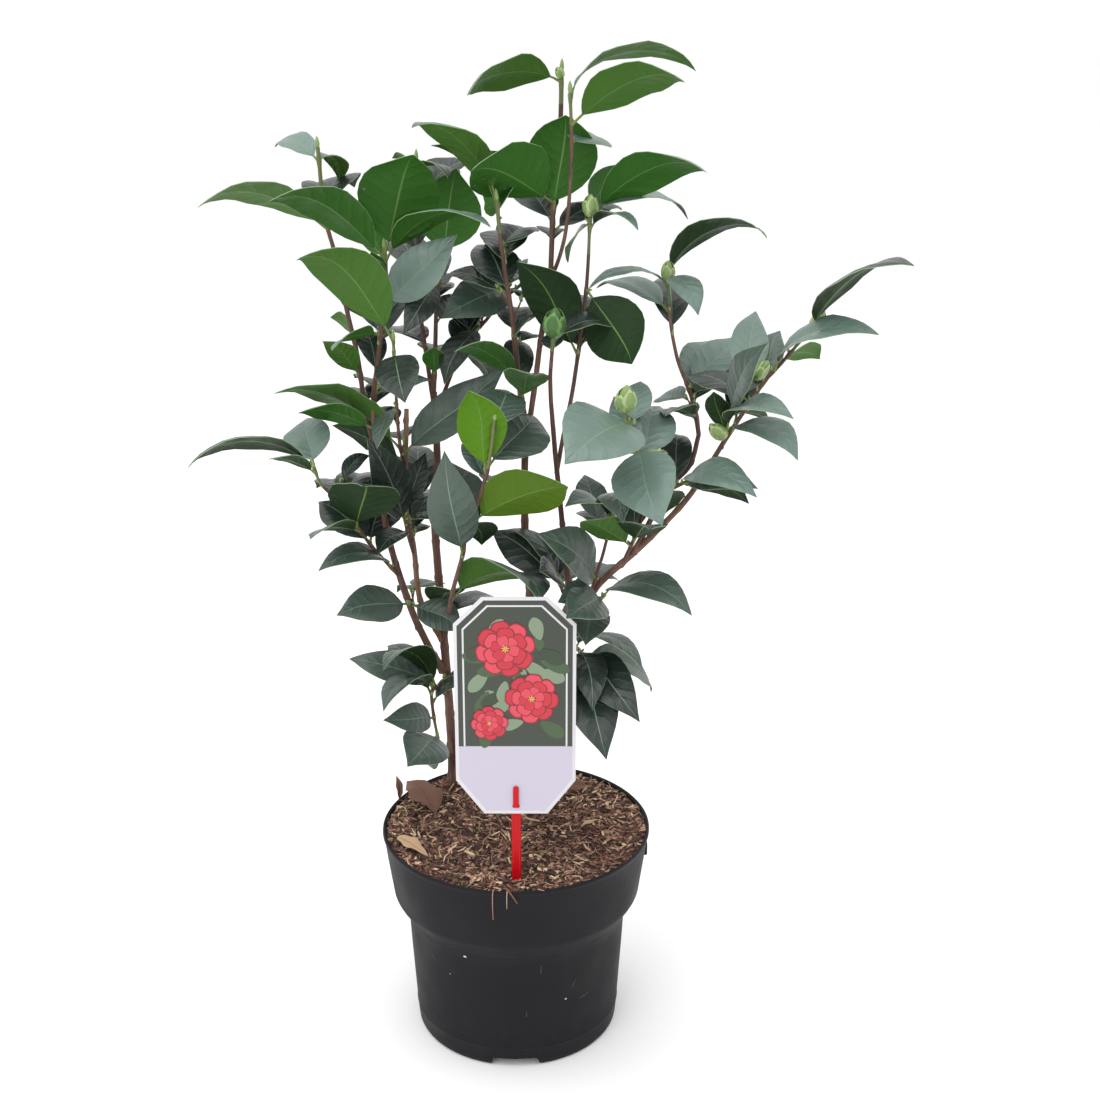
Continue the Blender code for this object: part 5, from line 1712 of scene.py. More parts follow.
@dataclass
class Foliage:
    """All masses: for each its twigs, its leaves and its buds."""

    cage: LeafCage = LeafCage()
    twig_sides: int = 8
    twig_step: float = 4.0
    node_swell: float = 0.4
    node_length: float = 1.8
    grain: float = 0.12            # roughness of a twig's surface
    green_share: float = 0.84      # from here a shoot is still green
    axil_bud: Pair = (3.4, 0.95)   # length and radius
    tip_bud: Pair = (7.5, 1.5)
    bud_scales: int = 9
    # The deep upper skin is painted shade and the pale upper skin painted sheen: darker and paler copies of
    # one leaf colour.
    skins: tuple[LeafSkin, ...] = (
        LeafSkin("leaf_top_deep", (34, 47, 40), 0.38, 0.12, 0.26),
        LeafSkin("leaf_top_middle", (66, 83, 73), 0.40, 0.14, 0.26),
        LeafSkin("leaf_top_pale", (98, 120, 110), 0.42, 0.14, 0.24),
        LeafSkin("leaf_top_young", (54, 82, 56), 0.38, 0.16, 0.26),
        LeafSkin("leaf_under_fresh", (50, 96, 30), 0.60, 0.0, 0.22, 0.2),
        # The shade under skin is painted shade: a darker copy of the fresh under skin.
        LeafSkin("leaf_under_shade", (33, 54, 28), 0.60, 0.0, 0.22, 0.2),
        LeafSkin("leaf_under_olive", (66, 104, 38), 0.60, 0.0, 0.24, 0.2),
        LeafSkin("leaf_under_young", (76, 106, 20), 0.60, 0.0, 0.24, 0.2),
        LeafSkin("leaf_under_lime", (78, 122, 12), 0.60, 0.0, 0.24, 0.2))
    rib: Stalk = Stalk("leaf_rib_top", (112, 138, 112))
    rib_under: Stalk = Stalk("leaf_rib_under", (86, 122, 54))
    edge: Stalk = Stalk("leaf_edge", (128, 156, 112))
    stalk: Stalk = Stalk("leaf_stalk", (104, 122, 56))
    twig: Bark = Bark("twig_brown", (76, 52, 44), (104, 76, 62), (136, 110, 92))
    twig_green: Stalk = Stalk("twig_green", (96, 104, 58))
    bud_scale: Stalk = Stalk("bud_scale", (128, 152, 92), 0.42)
    bud_edge: Stalk = Stalk("bud_scale_edge", (166, 186, 128), 0.45)
    bud_green: Stalk = Stalk("bud_green", (58, 96, 42), 0.46)
    bud_green_edge: Stalk = Stalk("bud_green_edge", (96, 132, 70), 0.46)

    def dress(self) -> dict[str, list[Material]]:
        """Makes the foliage's materials once.

        Returns:
            The materials of the leaves, the twigs and the buds.
        """
        parts = {"leaves": (*self.skins, self.rib, self.rib_under, self.edge, self.stalk),
                 "twigs": (self.twig, self.twig_green),
                 "buds": (self.bud_scale, self.bud_edge, self.bud_green, self.bud_green_edge)}
        return {part: [skin.make() for skin in skins] for part, skins in parts.items()}

    def corner(self, placed: Placed, form: LeafForm, row: int, column: int) -> Vector:
        """Finds the place of one corner of a leaf.

        Args:
            placed: The leaf in its place.
            form: Its bends.
            row: Row of the corner.
            column: Column of the corner.

        Returns:
            The place.
        """
        cage, leaf = self.cage, placed.leaf
        share, half = cage.stations[row]
        wide = len(cage.across)
        middle, side, normal = rib_frame(placed.foot, leaf, placed.heading, share)
        blade = max(0.0, (share - cage.stalk_share) / (1 - cage.stalk_share))
        turn = math.radians(form.twist) * blade
        side, normal = (math.cos(turn) * side + math.sin(turn) * normal,
                        math.cos(turn) * normal - math.sin(turn) * side)
        column %= cage.columns
        upper = column < wide
        across = cage.across[column] if upper else -cage.across[column - wide]
        if row == 0:
            return middle
        if row < cage.stalk_rows:
            angle = math.pi * (column + 0.5) / wide
            radius = cage.stalk_radius * (cage.stalk_swell if row == 1 else 1.0)
            return middle + radius * (-math.cos(angle) * side + math.sin(angle) * normal)
        half *= leaf.hold.breadth * form.width * leaf.length
        half = max(half, cage.stalk_radius if row == cage.stalk_rows else 0.0)
        reach = abs(across)
        fold = math.radians(form.fold) * (1.15 - 0.75 * blade)
        wave = form.wave * math.sin(2 * math.pi * form.waves * blade + form.phase + (across > 0) * 2.1)
        lift = half * (math.sin(fold) * reach - form.droop * reach ** 3 + wave * reach ** 2)
        bend = form.bias * leaf.length * math.sin(math.pi * blade) * math.sin(math.pi * blade * 0.5)
        made = middle + side * (across * half * math.cos(fold) + bend) + normal * lift
        if share == 1.0:
            return made
        rib = math.exp(-(across / cage.rib_width) ** 2) * (1 - 0.8 * blade)
        if upper:
            return made + normal * (cage.thickness / 2 - cage.rib_sink * rib)
        return made - normal * (cage.thickness / 2 + cage.rib_drop * rib)

    def build_leaves(self, growth: Growth, skins: list[Material]) -> None:
        """Builds the leaves of a mass as one piece, which stands for the mass's solid.

        Args:
            growth: The grown mass.
            skins: Materials of the leaves.
        """
        chance = random.Random(growth.mass.name + " blades")
        forms = [LeafForm.drawn(chance) for _ in growth.leaves]
        swarm = Swarm(self.cage.template(), len(forms))

        def place(number: int, corner: Vector) -> Vector:
            """Bends one corner of the cage into its leaf."""
            return self.corner(growth.leaves[number], forms[number], *self.cage.place_of(corner))

        def paint(number: int, role: int) -> int:
            """Deals each part of a leaf its skin."""
            tone = growth.leaves[number].tone
            return tone.value[role] if role < 2 else len(self.skins) + role - 2

        piece = finished(growth.mass.piece("leaves"), swarm.settle(place, paint), skins, 50.0)
        deliver(piece, "leaf", growth.mass.name)

    def build_twigs(self, growth: Growth, skins: list[Material]) -> None:
        """Builds the shoots and side twigs of a mass as one piece.

        Args:
            growth: The grown mass.
            skins: Materials of the twigs.
        """
        builder = bmesh.new()
        for number, shoot in enumerate(growth.mass.shoots):
            line = smooth_route(shoot.route, self.twig_step)
            run = lengths_along(line)[-1]
            nodes = [leaf.share * run for leaf in shoot.leaves]
            shift = number * 37.0 + run

            def relief(angle: float, along: float) -> float:
                """Swells the stem at its leaves and roughens it.

                Args:
                    angle: Angle round the stem.
                    along: Length along it.

                Returns:
                    How far the skin stands out.
                """
                swell = sum(math.exp(-((along - node) / self.node_length) ** 2) for node in nodes)
                grain = noise.noise(Vector((math.cos(angle), math.sin(angle), along * 0.12 + shift)))
                return self.node_swell * min(1.0, swell) + self.grain * grain

            tube(builder, line, taper(line, shoot.foot_radius, shoot.tip_radius), self.twig_sides, relief,
                 lambda share: int(share >= self.green_share), 0.6)
        for foot, end, radius in growth.twigs:
            middle = foot.lerp(end, 0.5) + Vector((0, 0, -0.06 * (end - foot).length))
            line = smooth_route((foot, middle, end), self.twig_step)
            radii = taper(line, radius * 1.25, radius * GrowthRule.TWIG_TAPER)
            tube(builder, line, radii, 6, None, lambda share: int(share > 0.5))
        deliver(finished(growth.mass.piece("twigs"), builder, skins, 50.0), "bark")

    def small_bud(self, builder: Mesh, foot: Vector, along: Vector, length: float, radius: float) -> None:
        """Adds a plain pointed leaf bud.

        Args:
            builder: The bmesh that it is added to.
            foot: Its foot.
            along: The way it points.
            length: Its length.
            radius: Its radius.
        """
        stations = ((0.0, 0.7), (0.25, 1.0), (0.55, 0.85), (0.85, 0.4), (1.0, 0.08))
        line = [foot + along * length * share for share, _ in stations]
        radii = [radius * width for _, width in stations]
        tube(builder, line, radii, 7, None, lambda share: int(share > 0.7))

    def flower_bud(self, builder: Mesh, foot: Vector, bud: Bud, seed: float) -> None:
        """Adds a flower bud: a plump body under a spiral of overlapping cupped scales.

        Args:
            builder: The bmesh that it is added to.
            foot: Its foot.
            bud: Its row.
            seed: Turn of its first scale, in degrees.
        """
        along = polar(bud.heading, bud.rise)
        across = along.orthogonal().normalized()
        up = along.cross(across)
        half = bud.breadth / 2

        def girth(share: float) -> float:
            """Gives the body's radius at a share of its length."""
            return half * max(0.05, math.sin(math.pi * min(1.0, 0.12 + 0.84 * share) ** 0.85)) ** 0.75

        stations = [step / 9 for step in range(10)]
        shade = 2 if bud.is_green else 0
        tube(builder, [foot + along * bud.length * share for share in stations],
             [girth(share) * 0.9 for share in stations], 12, None, lambda _: shade)
        rows, wide = 5, 6          # steps along a scale, and corners across each of its sides
        for number in range(self.bud_scales):
            turn = math.radians(seed + GrowthRule.SPIRAL * number)
            low, high = 0.02 + 0.055 * number, min(1.0, 0.42 + 0.075 * number)

            def place(row: int, column: int) -> Vector:
                """Lays a scale on the body, narrowing to its blunt point.

                Args:
                    row: Row of the corner.
                    column: Column of the corner.

                Returns:
                    The place.
                """
                share = low + (high - low) * row / rows
                fan = 0.0
                if row < rows:
                    fan = 0.95 * math.sin(math.pi * (0.18 + 0.82 * row / rows) ** 0.8) ** 0.7
                spot = column % (2 * wide)
                upper = spot < wide
                angle = turn + fan * ((spot if upper else 2 * wide - 1 - spot) - 2.5) / 2.5
                proud = (0.55 if upper else 0.15) + 0.05 * number * half / 6
                radius = girth(share) + proud * (0.4 if row == rows else 1.0)
                out = math.cos(angle) * across + math.sin(angle) * up
                return foot + along * bud.length * share + radius * out

            grid_piece(builder, rows + 1, 2 * wide + 1, place, None,
                       lambda row, column: shade + int(column in (0, 4, 5, 11) or row == rows - 1))

    def build_buds(self, growth: Growth, skins: list[Material]) -> None:
        """Builds the flower buds, tip buds and axil buds of a mass as one piece.

        Args:
            growth: The grown mass.
            skins: Materials of the buds.
        """
        builder = bmesh.new()
        chance = random.Random(growth.mass.name + " buds")
        for shoot in growth.mass.shoots:
            line = smooth_route(shoot.route, self.twig_step)
            for bud in shoot.buds:
                self.flower_bud(builder, point_at(line, bud.share), bud, chance.uniform(0, 360))
            if not any(bud.share == 1.0 for bud in shoot.buds):
                self.small_bud(builder, line[-1], (line[-1] - line[-2]).normalized(), *self.tip_bud)
        for _, end, radius in growth.twigs:
            self.small_bud(builder, end, polar(chance.uniform(0, 360), 60), 3.6, radius * 1.2)
        for placed in growth.leaves:
            _, _, normal = rib_frame(placed.foot, placed.leaf, placed.heading, 0.0)
            along = (normal + polar(placed.heading, 20)).normalized()
            self.small_bud(builder, placed.foot + normal * 1.2, along, *self.axil_bud)
        deliver(finished(growth.mass.piece("buds"), builder, skins, 50.0), "leaf")

    def build(self, growths: Sequence[Growth]) -> None:
        """Builds every mass.

        Args:
            growths: The grown masses.
        """
        skins = self.dress()
        for growth in growths:
            self.build_leaves(growth, skins["leaves"])
            self.build_twigs(growth, skins["twigs"])
            self.build_buds(growth, skins["buds"])


# ---- pot ---------------------------------------------------------------------
@dataclass
class Pot:
    """The moulded nursery pot: rolled lip, deep collar, shoulder, body and notched foot ring."""

    height: float = 151.0
    wall: float = 1.6
    sides: int = 144
    rim_radius: float = 93.0
    collar_foot_radius: float = 86.6
    collar_foot_height: float = 104.0
    shoulder_radius: float = 77.6
    shoulder_height: float = 90.0
    foot_radius: float = 71.6
    foot_edge: float = 3.0
    foot_ring: float = 7.0
    floor_height: float = 7.0
    pad_radius: float = 14.0
    notch_width: float = 35.0
    notch_height: float = 6.6
    notch_top: float = 0.86        # breadth of a notch's top over its foot
    notches: int = 3
    drain_radius: float = 5.0
    drain_ring: float = 44.0
    drains: int = 6
    ridge_height: float = 15.0     # of the faint ridge above the foot
    collar_round: float = 1.6
    crease: float = 32.0
    tab: Point = (91.0, 0.0, 131.0)
    tab_size: Point = (3.0, 7.0, 9.0)
    tab_round: float = 1.1
    finish: Moulded = Moulded("pot_plastic", (11, 10, 15), (27, 25, 31), 0.56, 60.0, 0.0, 0.22)

    def radius(self, height: float) -> float:
        """Gives the outer radius of the wall at a height.

        Args:
            height: The height.

        Returns:
            The radius.
        """
        steps = ((self.foot_edge, self.foot_radius), (self.shoulder_height - 30, self.shoulder_radius - 2.4),
                 (self.shoulder_height - 8, self.shoulder_radius - 1.2),
                 (self.shoulder_height, self.shoulder_radius),
                 (self.collar_foot_height - 4, self.collar_foot_radius - 2.2),
                 (self.collar_foot_height, self.collar_foot_radius),
                 (self.collar_foot_height + 28, self.collar_foot_radius + 4), (self.height, self.rim_radius))
        for (low, low_radius), (high, high_radius) in zip(steps, steps[1:]):
            if height <= high:
                return between((low_radius, high_radius), (height - low) / (high - low))
        return self.rim_radius

    def inner_radius(self, height: float) -> float:
        """Gives the radius of the inner wall, which smooths the shoulder over.

        Args:
            height: The height.

        Returns:
            The radius.
        """
        rings = (self.floor_height + self.wall, self.shoulder_height - 6, self.collar_foot_height + 2,
                 self.height - 1.0)
        low = max([ring for ring in rings if ring <= height], default=rings[0])
        high = min([ring for ring in rings if ring > low], default=rings[-1] + 1)
        return between((self.radius(low), self.radius(high)), (height - low) / (high - low)) - self.wall

    def profile(self) -> list[Pair]:
        """Lists the radius and height of the wall's section, from inside to outside.

        Returns:
            The points of the section.
        """
        rim, ridge = self.rim_radius, self.ridge_height
        inner = [self.floor_height + self.wall, 40.0, self.shoulder_height - 6, self.collar_foot_height + 2,
                 128.0, self.height - 4.0]
        made = [(0.0, inner[0]), (self.drain_ring, inner[0])]
        made += [(self.inner_radius(height), height) for height in inner]
        made += [(rim - self.wall - 0.3, self.height - 1.4), (rim - self.wall + 0.7, self.height - 0.3),
                 (rim - 0.4, self.height), (rim + 0.35, self.height - 0.8), (rim + 0.4, self.height - 2.2),
                 (rim - 0.3, self.height - 3.4), (rim - 0.7, self.height - 5.0)]
        outer = (132.0, 118.0, self.collar_foot_height, self.collar_foot_height - 4, self.shoulder_height,
                 self.shoulder_height - 8, 70.0, 60.0, 45.0, 30.0)
        made += [(self.radius(height), height) for height in outer]
        made += [(self.radius(ridge + 1.2), ridge + 1.2), (self.radius(ridge) + 0.35, ridge),
                 (self.radius(ridge - 1.2), ridge - 1.2)]
        base = self.foot_radius - self.foot_edge
        made += [(self.foot_radius, self.foot_edge + 2.0), (self.foot_radius - 0.4, 2.0),
                 (self.foot_radius - 1.3, 0.7), (base, 0.0)]
        ring = self.foot_radius - self.foot_ring
        made += [(ring, 0.0), (ring - 1.0, self.floor_height), (self.drain_ring, self.floor_height),
                 (self.pad_radius + 1.5, self.floor_height), (self.pad_radius, 0.0), (0.0, 0.0)]
        return made

    def cutters(self) -> bpy.types.Object:
        """Makes the shapes that cut the foot's notches and the drain holes.

        Returns:
            All of them as one object.
        """
        builder = bmesh.new()
        ring, half = self.foot_radius - self.foot_ring, self.notch_width / 2
        for index in range(self.notches):
            verts = box(builder, (ring - 4, -half, -1), (self.foot_radius + 4, half, self.notch_height))
            for vert in verts:
                if vert.co.z > 0:
                    vert.co.y *= self.notch_top
            turn = Matrix.Rotation(math.radians(-90 + 360 / self.notches * index), 4, "Z")
            bmesh.ops.transform(builder, matrix=turn, verts=verts)
        for index in range(self.drains):
            angle = 2 * math.pi * (index + 0.5) / self.drains
            made = bmesh.ops.create_cone(builder, cap_ends=True, segments=24, radius1=self.drain_radius,
                                         radius2=self.drain_radius, depth=8.0)
            middle = (self.drain_ring * math.cos(angle), self.drain_ring * math.sin(angle), self.floor_height)
            bmesh.ops.translate(builder, vec=middle, verts=made["verts"])
        return finished("pot_cutters", builder, [])

    def build(self) -> None:
        """Builds the pot and its moulded tab."""
        builder = turned(self.profile(), self.sides)
        creases = [edge for edge in builder.edges if abs(edge.verts[0].co.z - edge.verts[1].co.z) < 0.01
                   and abs(edge.verts[0].co.z - self.collar_foot_height) < 0.1
                   and edge.verts[0].co.xy.length > self.shoulder_radius]
        bevelled(builder, creases, self.collar_round, 3)
        skin = self.finish.make()
        pot = finished("pot_body", builder, [skin], self.crease)
        carve(pot, self.cutters())
        pot.data.shade_smooth()
        pot.data.set_sharp_from_angle(angle=math.radians(self.crease))
        deliver(pot, "pot", "pot")
        builder = bmesh.new()
        half = [size / 2 for size in self.tab_size]
        box(builder, [a - b for a, b in zip(self.tab, half)], [a + b for a, b in zip(self.tab, half)])
        bevelled(builder, builder.edges[:], self.tab_round, 3)
        deliver(finished("pot_tab", builder, [skin]), "pot")


@dataclass
class PotMarks:
    """Small marks of use on the pot: pale specks of grit and shallow scratches."""

    pot: Pot
    # heading, height and size of each speck
    specks: tuple[Point, ...] = (
        (-115.9, 87.0, 1.5), (-62.4, 51.4, 1.0), (-126.0, 68.0, 0.6), (38.0, 62.0, 1.2), (150.0, 48.0, 1.3),
        (98.0, 84.0, 0.9))
    # heading, height, length and lean of each scratch
    scratches: tuple[tuple[float, float, float, float], ...] = (
        (-76.5, 80.0, 8.0, 88.0), (-50.2, 48.5, 9.0, 14.0), (-138.6, 76.0, 9.0, 125.0),
        (-84.0, 44.0, 4.0, 80.0), (-58.0, 62.0, 6.0, 60.0), (20.0, 44.0, 12.0, 75.0),
        (130.0, 66.0, 10.0, 20.0), (75.0, 30.0, 8.0, 95.0))
    # share of a scratch, and its radius there
    groove: tuple[Pair, ...] = ((-0.5, 0.08), (-0.2, 0.2), (0.15, 0.16), (0.5, 0.06))
    sunk: float = 0.05             # how far a scratch lies in the wall
    grit: Crumb = Crumb("grit", (206, 202, 196), 0.15)
    rub: Crumb = Crumb("scratch", (84, 82, 86), 0.05)

    def on_wall(self, heading: float, height: float, proud: float = 0.0) -> Vector:
        """Finds a point of the pot's outer wall."""
        turn, radius = math.radians(heading), self.pot.radius(height) + proud
        return Vector((radius * math.cos(turn), radius * math.sin(turn), height))

    def build(self) -> None:
        """Builds the marks as one piece."""
        builder = bmesh.new()
        for number, (heading, height, size) in enumerate(self.specks):
            made = bmesh.ops.create_icosphere(builder, subdivisions=2, radius=1.0)
            turn = math.radians(heading)
            shape = (Matrix.Translation(self.on_wall(heading, height)) @ Matrix.Rotation(turn, 4, "Z")
                     @ Matrix.Rotation(0.5 * number, 4, "X")
                     @ Matrix.Diagonal((0.28, 0.8 * size, 0.45 * size, 1.0)))
            for vert in made["verts"]:
                vert.co *= 1 + 0.25 * noise.noise(vert.co * 1.7 + Vector((number, 0, 0)))
            bmesh.ops.transform(builder, matrix=shape, verts=made["verts"])
        for heading, height, length, lean in self.scratches:
            slope = math.radians(lean)
            line = []
            for share, _ in self.groove:
                sideways = math.degrees(length * share * math.cos(slope) / self.pot.radius(height))
                rise = length * share * math.sin(slope)
                line.append(self.on_wall(heading + sideways, height + rise, -self.sunk))
            tube(builder, line, [radius for _, radius in self.groove], 6, None, lambda _: 1)
        deliver(finished("pot_marks", builder, [self.grit.make(), self.rub.make()]), "pot")


# ---- compost -----------------------------------------------------------------
@dataclass
class Compost:
    """The compost in the pot, its loose fibres, chips and crumbs, and a few dead leaves."""

    pot: Pot
    feet: tuple[Point, ...]
    edge: float = 148.8
    crown: float = 150.2
    mound_top: float = 152.0
    mound_top_radius: float = 9.0
    mound_foot_radius: float = 24.0
    mound_depth: float = 14.0
    clear: float = 0.4
    reach: float = 91.0            # how far from the middle loose bits lie
    fibre_reach: float = 90.5
    bit_reach: float = 90.0
    rings: int = 46
    sides: int = 128
    fibres: int = 2300
    chips: int = 1500
    crumbs: int = 1500
    fibre_mix: tuple[int, ...] = (30, 26, 15, 8, 14, 7)  # how often each brown comes
    chip_mix: tuple[int, ...] = (30, 26, 16, 12, 14, 2)
    crumb_mix: tuple[int, ...] = (10, 6, 2, 46, 34, 2)
    chip_size: tuple[Span, ...] = ((2.6, 9.0), (0.9, 2.4), (0.3, 0.8))
    crumb_size: tuple[Span, ...] = ((1.5, 4.6), (1.2, 3.4), (0.9, 2.4))
    soil: Soil = Soil("compost_fine", (44, 30, 25), (86, 58, 46), (116, 84, 66))
    browns: tuple[Crumb, ...] = (
        Crumb("fibre_brown", (116, 79, 67)), Crumb("fibre_tan", (164, 126, 106)),
        Crumb("fibre_straw", (212, 182, 150)), Crumb("crumb_dark", (42, 29, 25)),
        Crumb("crumb_middle", (78, 52, 43)), Crumb("fibre_mossy", (128, 118, 78)))
    dead: tuple[Crumb, ...] = (Crumb("dead_leaf_brown", (112, 80, 66), 0.4),
                               Crumb("dead_leaf_tan", (186, 156, 122), 0.4),
                               Crumb("dead_leaf_rib", (104, 74, 58), 0.3))

    def level(self, x: float, y: float) -> float:
        """Gives the height of the compost's surface at a spot.

        Args:
            x: Distance to the right.
            y: Distance to the back.

        Returns:
            The height.
        """
        radius = math.hypot(x, y)
        steps = ((0.0, self.crown), (60.0, self.crown - 1.4), (80.0, self.edge + 0.8),
                 (94.0, self.edge - 0.5))
        base = self.edge
        for (low, start), (high, end) in zip(steps, steps[1:]):
            if low <= radius <= high:
                base = between((start, end), (radius - low) / (high - low))
        for right, back, _ in self.feet:
            away = math.hypot(x - right, y - back) - self.mound_top_radius
            slope = self.mound_depth / (self.mound_foot_radius - self.mound_top_radius)
            base = max(base, self.mound_top - max(0.0, away) * slope)
        coarse = noise.noise(Vector((x, y, 0.0)) * 0.085) * 1.5
        fine = noise.noise(Vector((x, y, 7.0)) * 0.25) * 0.9
        return base + (coarse + fine) * eased(92.0, 78.0, radius) - 0.5

    def build_bed(self) -> None:
        """Builds the bed of fine compost that fills the pot."""
        floor = self.pot.floor_height + self.pot.wall + 0.3
        rim = self.pot.inner_radius(self.edge) - self.clear
        profile = [(rim * ring / self.rings, self.edge) for ring in range(self.rings + 1)]
        for height in (self.pot.collar_foot_height + 2, self.pot.shoulder_height - 6, floor):
            profile.append((self.pot.inner_radius(height) - self.clear, height))
        profile.append((0.0, floor))
        builder = turned(profile, self.sides)
        for vert in builder.verts:
            if vert.co.z > self.edge - 0.5:
                vert.co.z = self.level(vert.co.x, vert.co.y)
        deliver(finished("compost_bed", builder, [self.soil.make()], 80.0), "compost", "compost")

    def spots(self, chance: random.Random, count: int, reach: float) -> list[Pair]:
        """Deals spots evenly over the surface.

        Args:
            chance: Source of their chances.
            count: Number of spots.
            reach: How far from the middle they lie.

        Returns:
            The spots.
        """
        made = []
        for _ in range(count):
            radius, turn = reach * math.sqrt(chance.random()), chance.uniform(0, 2 * math.pi)
            made.append((radius * math.cos(turn), radius * math.sin(turn)))
        return made

    def kept_in(self, point: Vector) -> Vector:
        """Draws a point in to where loose bits lie.

        Args:
            point: The point, which is changed.

        Returns:
            The point.
        """
        if point.xy.length > self.reach:
            point.xy *= self.reach / point.xy.length
        return point

    def build_fibres(self, skins: list[Material]) -> None:
        """Builds the loose curled fibres.

        Args:
            skins: The materials.
        """
        chance = random.Random("fibres")
        template = bmesh.new()
        line = [Vector((share, 0, 0)) for share in (-0.5, -0.2, 0.1, 0.5)]
        tube(template, line, [0.75, 1.0, 0.9, 0.5], 4, None, None, 0.02)
        rows = []
        for x, y in self.spots(chance, self.fibres, self.fibre_reach):
            length = chance.uniform(3.5, 8.5) if chance.random() < 0.7 else chance.uniform(9, 17)
            base = Vector((x, y, self.level(x, y) + chance.uniform(0.0, 1.3)))
            radius, turn = chance.uniform(0.18, 0.62), chance.uniform(0, 2 * math.pi)
            tilt, curl = chance.uniform(-0.35, 0.4), chance.uniform(-1.9, 1.9)
            brown = chance.choices(range(len(skins)), self.fibre_mix)[0]
            rows.append((base, length, radius, turn, tilt, curl, brown))

        def place(number: int, spot: Vector) -> Vector:
            """Curls a fibre and lays it down.

            Args:
                number: Number of the fibre.
                spot: A corner of the straight fibre.

            Returns:
                Its place.
            """
            base, length, radius, turn, tilt, curl, _ = rows[number]
            bend = curl * spot.x
            along = length * Vector((math.sin(bend) / curl if abs(curl) > 0.01 else spot.x,
                                     (1 - math.cos(bend)) / curl if abs(curl) > 0.01 else 0.0, 0.0))
            local = along + radius * Vector((-math.sin(bend) * spot.y, math.cos(bend) * spot.y, spot.z))
            local.z += local.x * math.tan(tilt)
            made = self.kept_in(base + Matrix.Rotation(turn, 3, "Z") @ local)
            made.z = max(made.z, self.level(made.x, made.y) - 0.4)
            return made

        builder = Swarm(template, len(rows)).settle(place, lambda number, _: rows[number][6])
        deliver(finished("compost_fibres", builder, skins, 60.0), "compost")

    def build_bits(self, name: str, template: Mesh, sizes: Sequence[Span], count: int, weights: Sequence[int],
                   skins: list[Material], rough: float) -> None:
        """Builds many small bits of one sort.

        Args:
            name: Name of the piece.
            template: Shape of one bit, about 1 across.
            sizes: Span of its length, breadth and thickness.
            count: Number of bits.
            weights: How often each material comes.
            skins: The materials.
            rough: How uneven each bit is.
        """
        chance = random.Random(name)
        rows = []
        for x, y in self.spots(chance, count, self.bit_reach):
            size = Matrix.Diagonal([chance.uniform(*span) for span in sizes])
            turn = (Matrix.Rotation(chance.uniform(0, 6.28), 3, "Z")
                    @ Matrix.Rotation(chance.uniform(-0.5, 0.5), 3, "Y")
                    @ Matrix.Rotation(chance.uniform(-0.5, 0.5), 3, "X"))
            rows.append((Vector((x, y, self.level(x, y) + chance.uniform(-0.1, 0.7))), turn @ size,
                         chance.choices(range(len(skins)), weights)[0]))

        def place(number: int, spot: Vector) -> Vector:
            """Squashes, turns and lays one bit.

            Args:
                number: Number of the bit.
                spot: A corner of the plain bit.

            Returns:
                Its place.
            """
            base, turn, _ = rows[number]
            uneven = 1 + rough * noise.noise(spot * 1.9 + Vector((number * 0.37, 0, 0)))
            return self.kept_in(base + turn @ (spot * uneven))

        builder = Swarm(template, len(rows)).settle(place, lambda number, _: rows[number][2])
        deliver(finished(name, builder, skins, 35.0), "compost")

    def build_litter(self, foliage: Foliage) -> None:
        """Builds the few dead leaves and slivers of bark that lie on the compost.

        Args:
            foliage: Lends its way of bending a leaf.
        """
        rows = ((Leaf(0, 122, 10, 48, 30, BROAD), (-56.0, 6.0, 151.0), 34.0, 0.40),
                (Leaf(0, -46, -2, 37, -10, STRAP), (-84.0, -18.0, 150.0), 30.0, 0.30),
                (Leaf(0, 105, 62, 19, 20, STRAP), (-86.0, 38.0, 147.0), 50.0, 0.45),
                (Leaf(0, 20, 4, 20, 10, ARCH), (44.0, -8.0, 150.0), 30.0, 0.3),
                (Leaf(0, 200, 8, 24, -30, BOW), (52.0, 58.0, 149.0), 34.0, 0.3))
        placed = [Placed(leaf, Vector(foot), leaf.heading, SHADE) for leaf, foot, _, _ in rows]
        forms = [LeafForm(fold, droop, 24.0, 0.16, 2.4, number * 1.3, 0.03, 1.0)
                 for number, (_, _, fold, droop) in enumerate(rows)]
        swarm = Swarm(foliage.cage.template(), len(rows))
        builder = swarm.settle(
            lambda number, spot: foliage.corner(placed[number], forms[number], *foliage.cage.place_of(spot)),
            lambda number, role: 2 if role > 1 else number % 2)
        deliver(finished("compost_litter", builder, [skin.make() for skin in self.dead], 50.0), "compost")

    def build_trailers(self, skins: list[Material]) -> None:
        """Builds the fibres that hang over the front of the rim.

        Args:
            skins: The materials.
        """
        rows = ((((-12.0, -84.0, 147.0), (-12.8, -91.0, 151.4), (-13.4, -93.6, 149.6), (-13.6, -92.6, 141.0),
                  (-13.4, -90.6, 128.6)), 0.42, 1),
                (((-3.0, -86.0, 147.4), (-3.8, -91.6, 151.3), (-4.2, -93.9, 148.4),
                  (-4.3, -92.8, 138.0)), 0.3, 2),
                (((-8.0, -84.0, 147.0), (-4.6, -91.0, 151.9), (-1.6, -94.2, 150.0),
                  (2.6, -93.4, 142.4)), 0.8, 0),
                (((8.0, -86.0, 147.4), (3.0, -91.4, 151.4), (-3.0, -93.2, 151.4)), 0.5, 4),
                (((18.0, -84.0, 147.4), (16.0, -90.0, 151.0), (20.0, -92.2, 151.3)), 0.3, 2))
        builder = bmesh.new()
        for route, radius, skin in rows:
            line = smooth_route(route, 1.5)
            radii = [radius * (1 - 0.6 * index / len(line)) for index in range(len(line))]
            tube(builder, line, radii, 6, None, lambda _, number=skin: number)
        deliver(finished("compost_trailers", builder, skins), "compost")

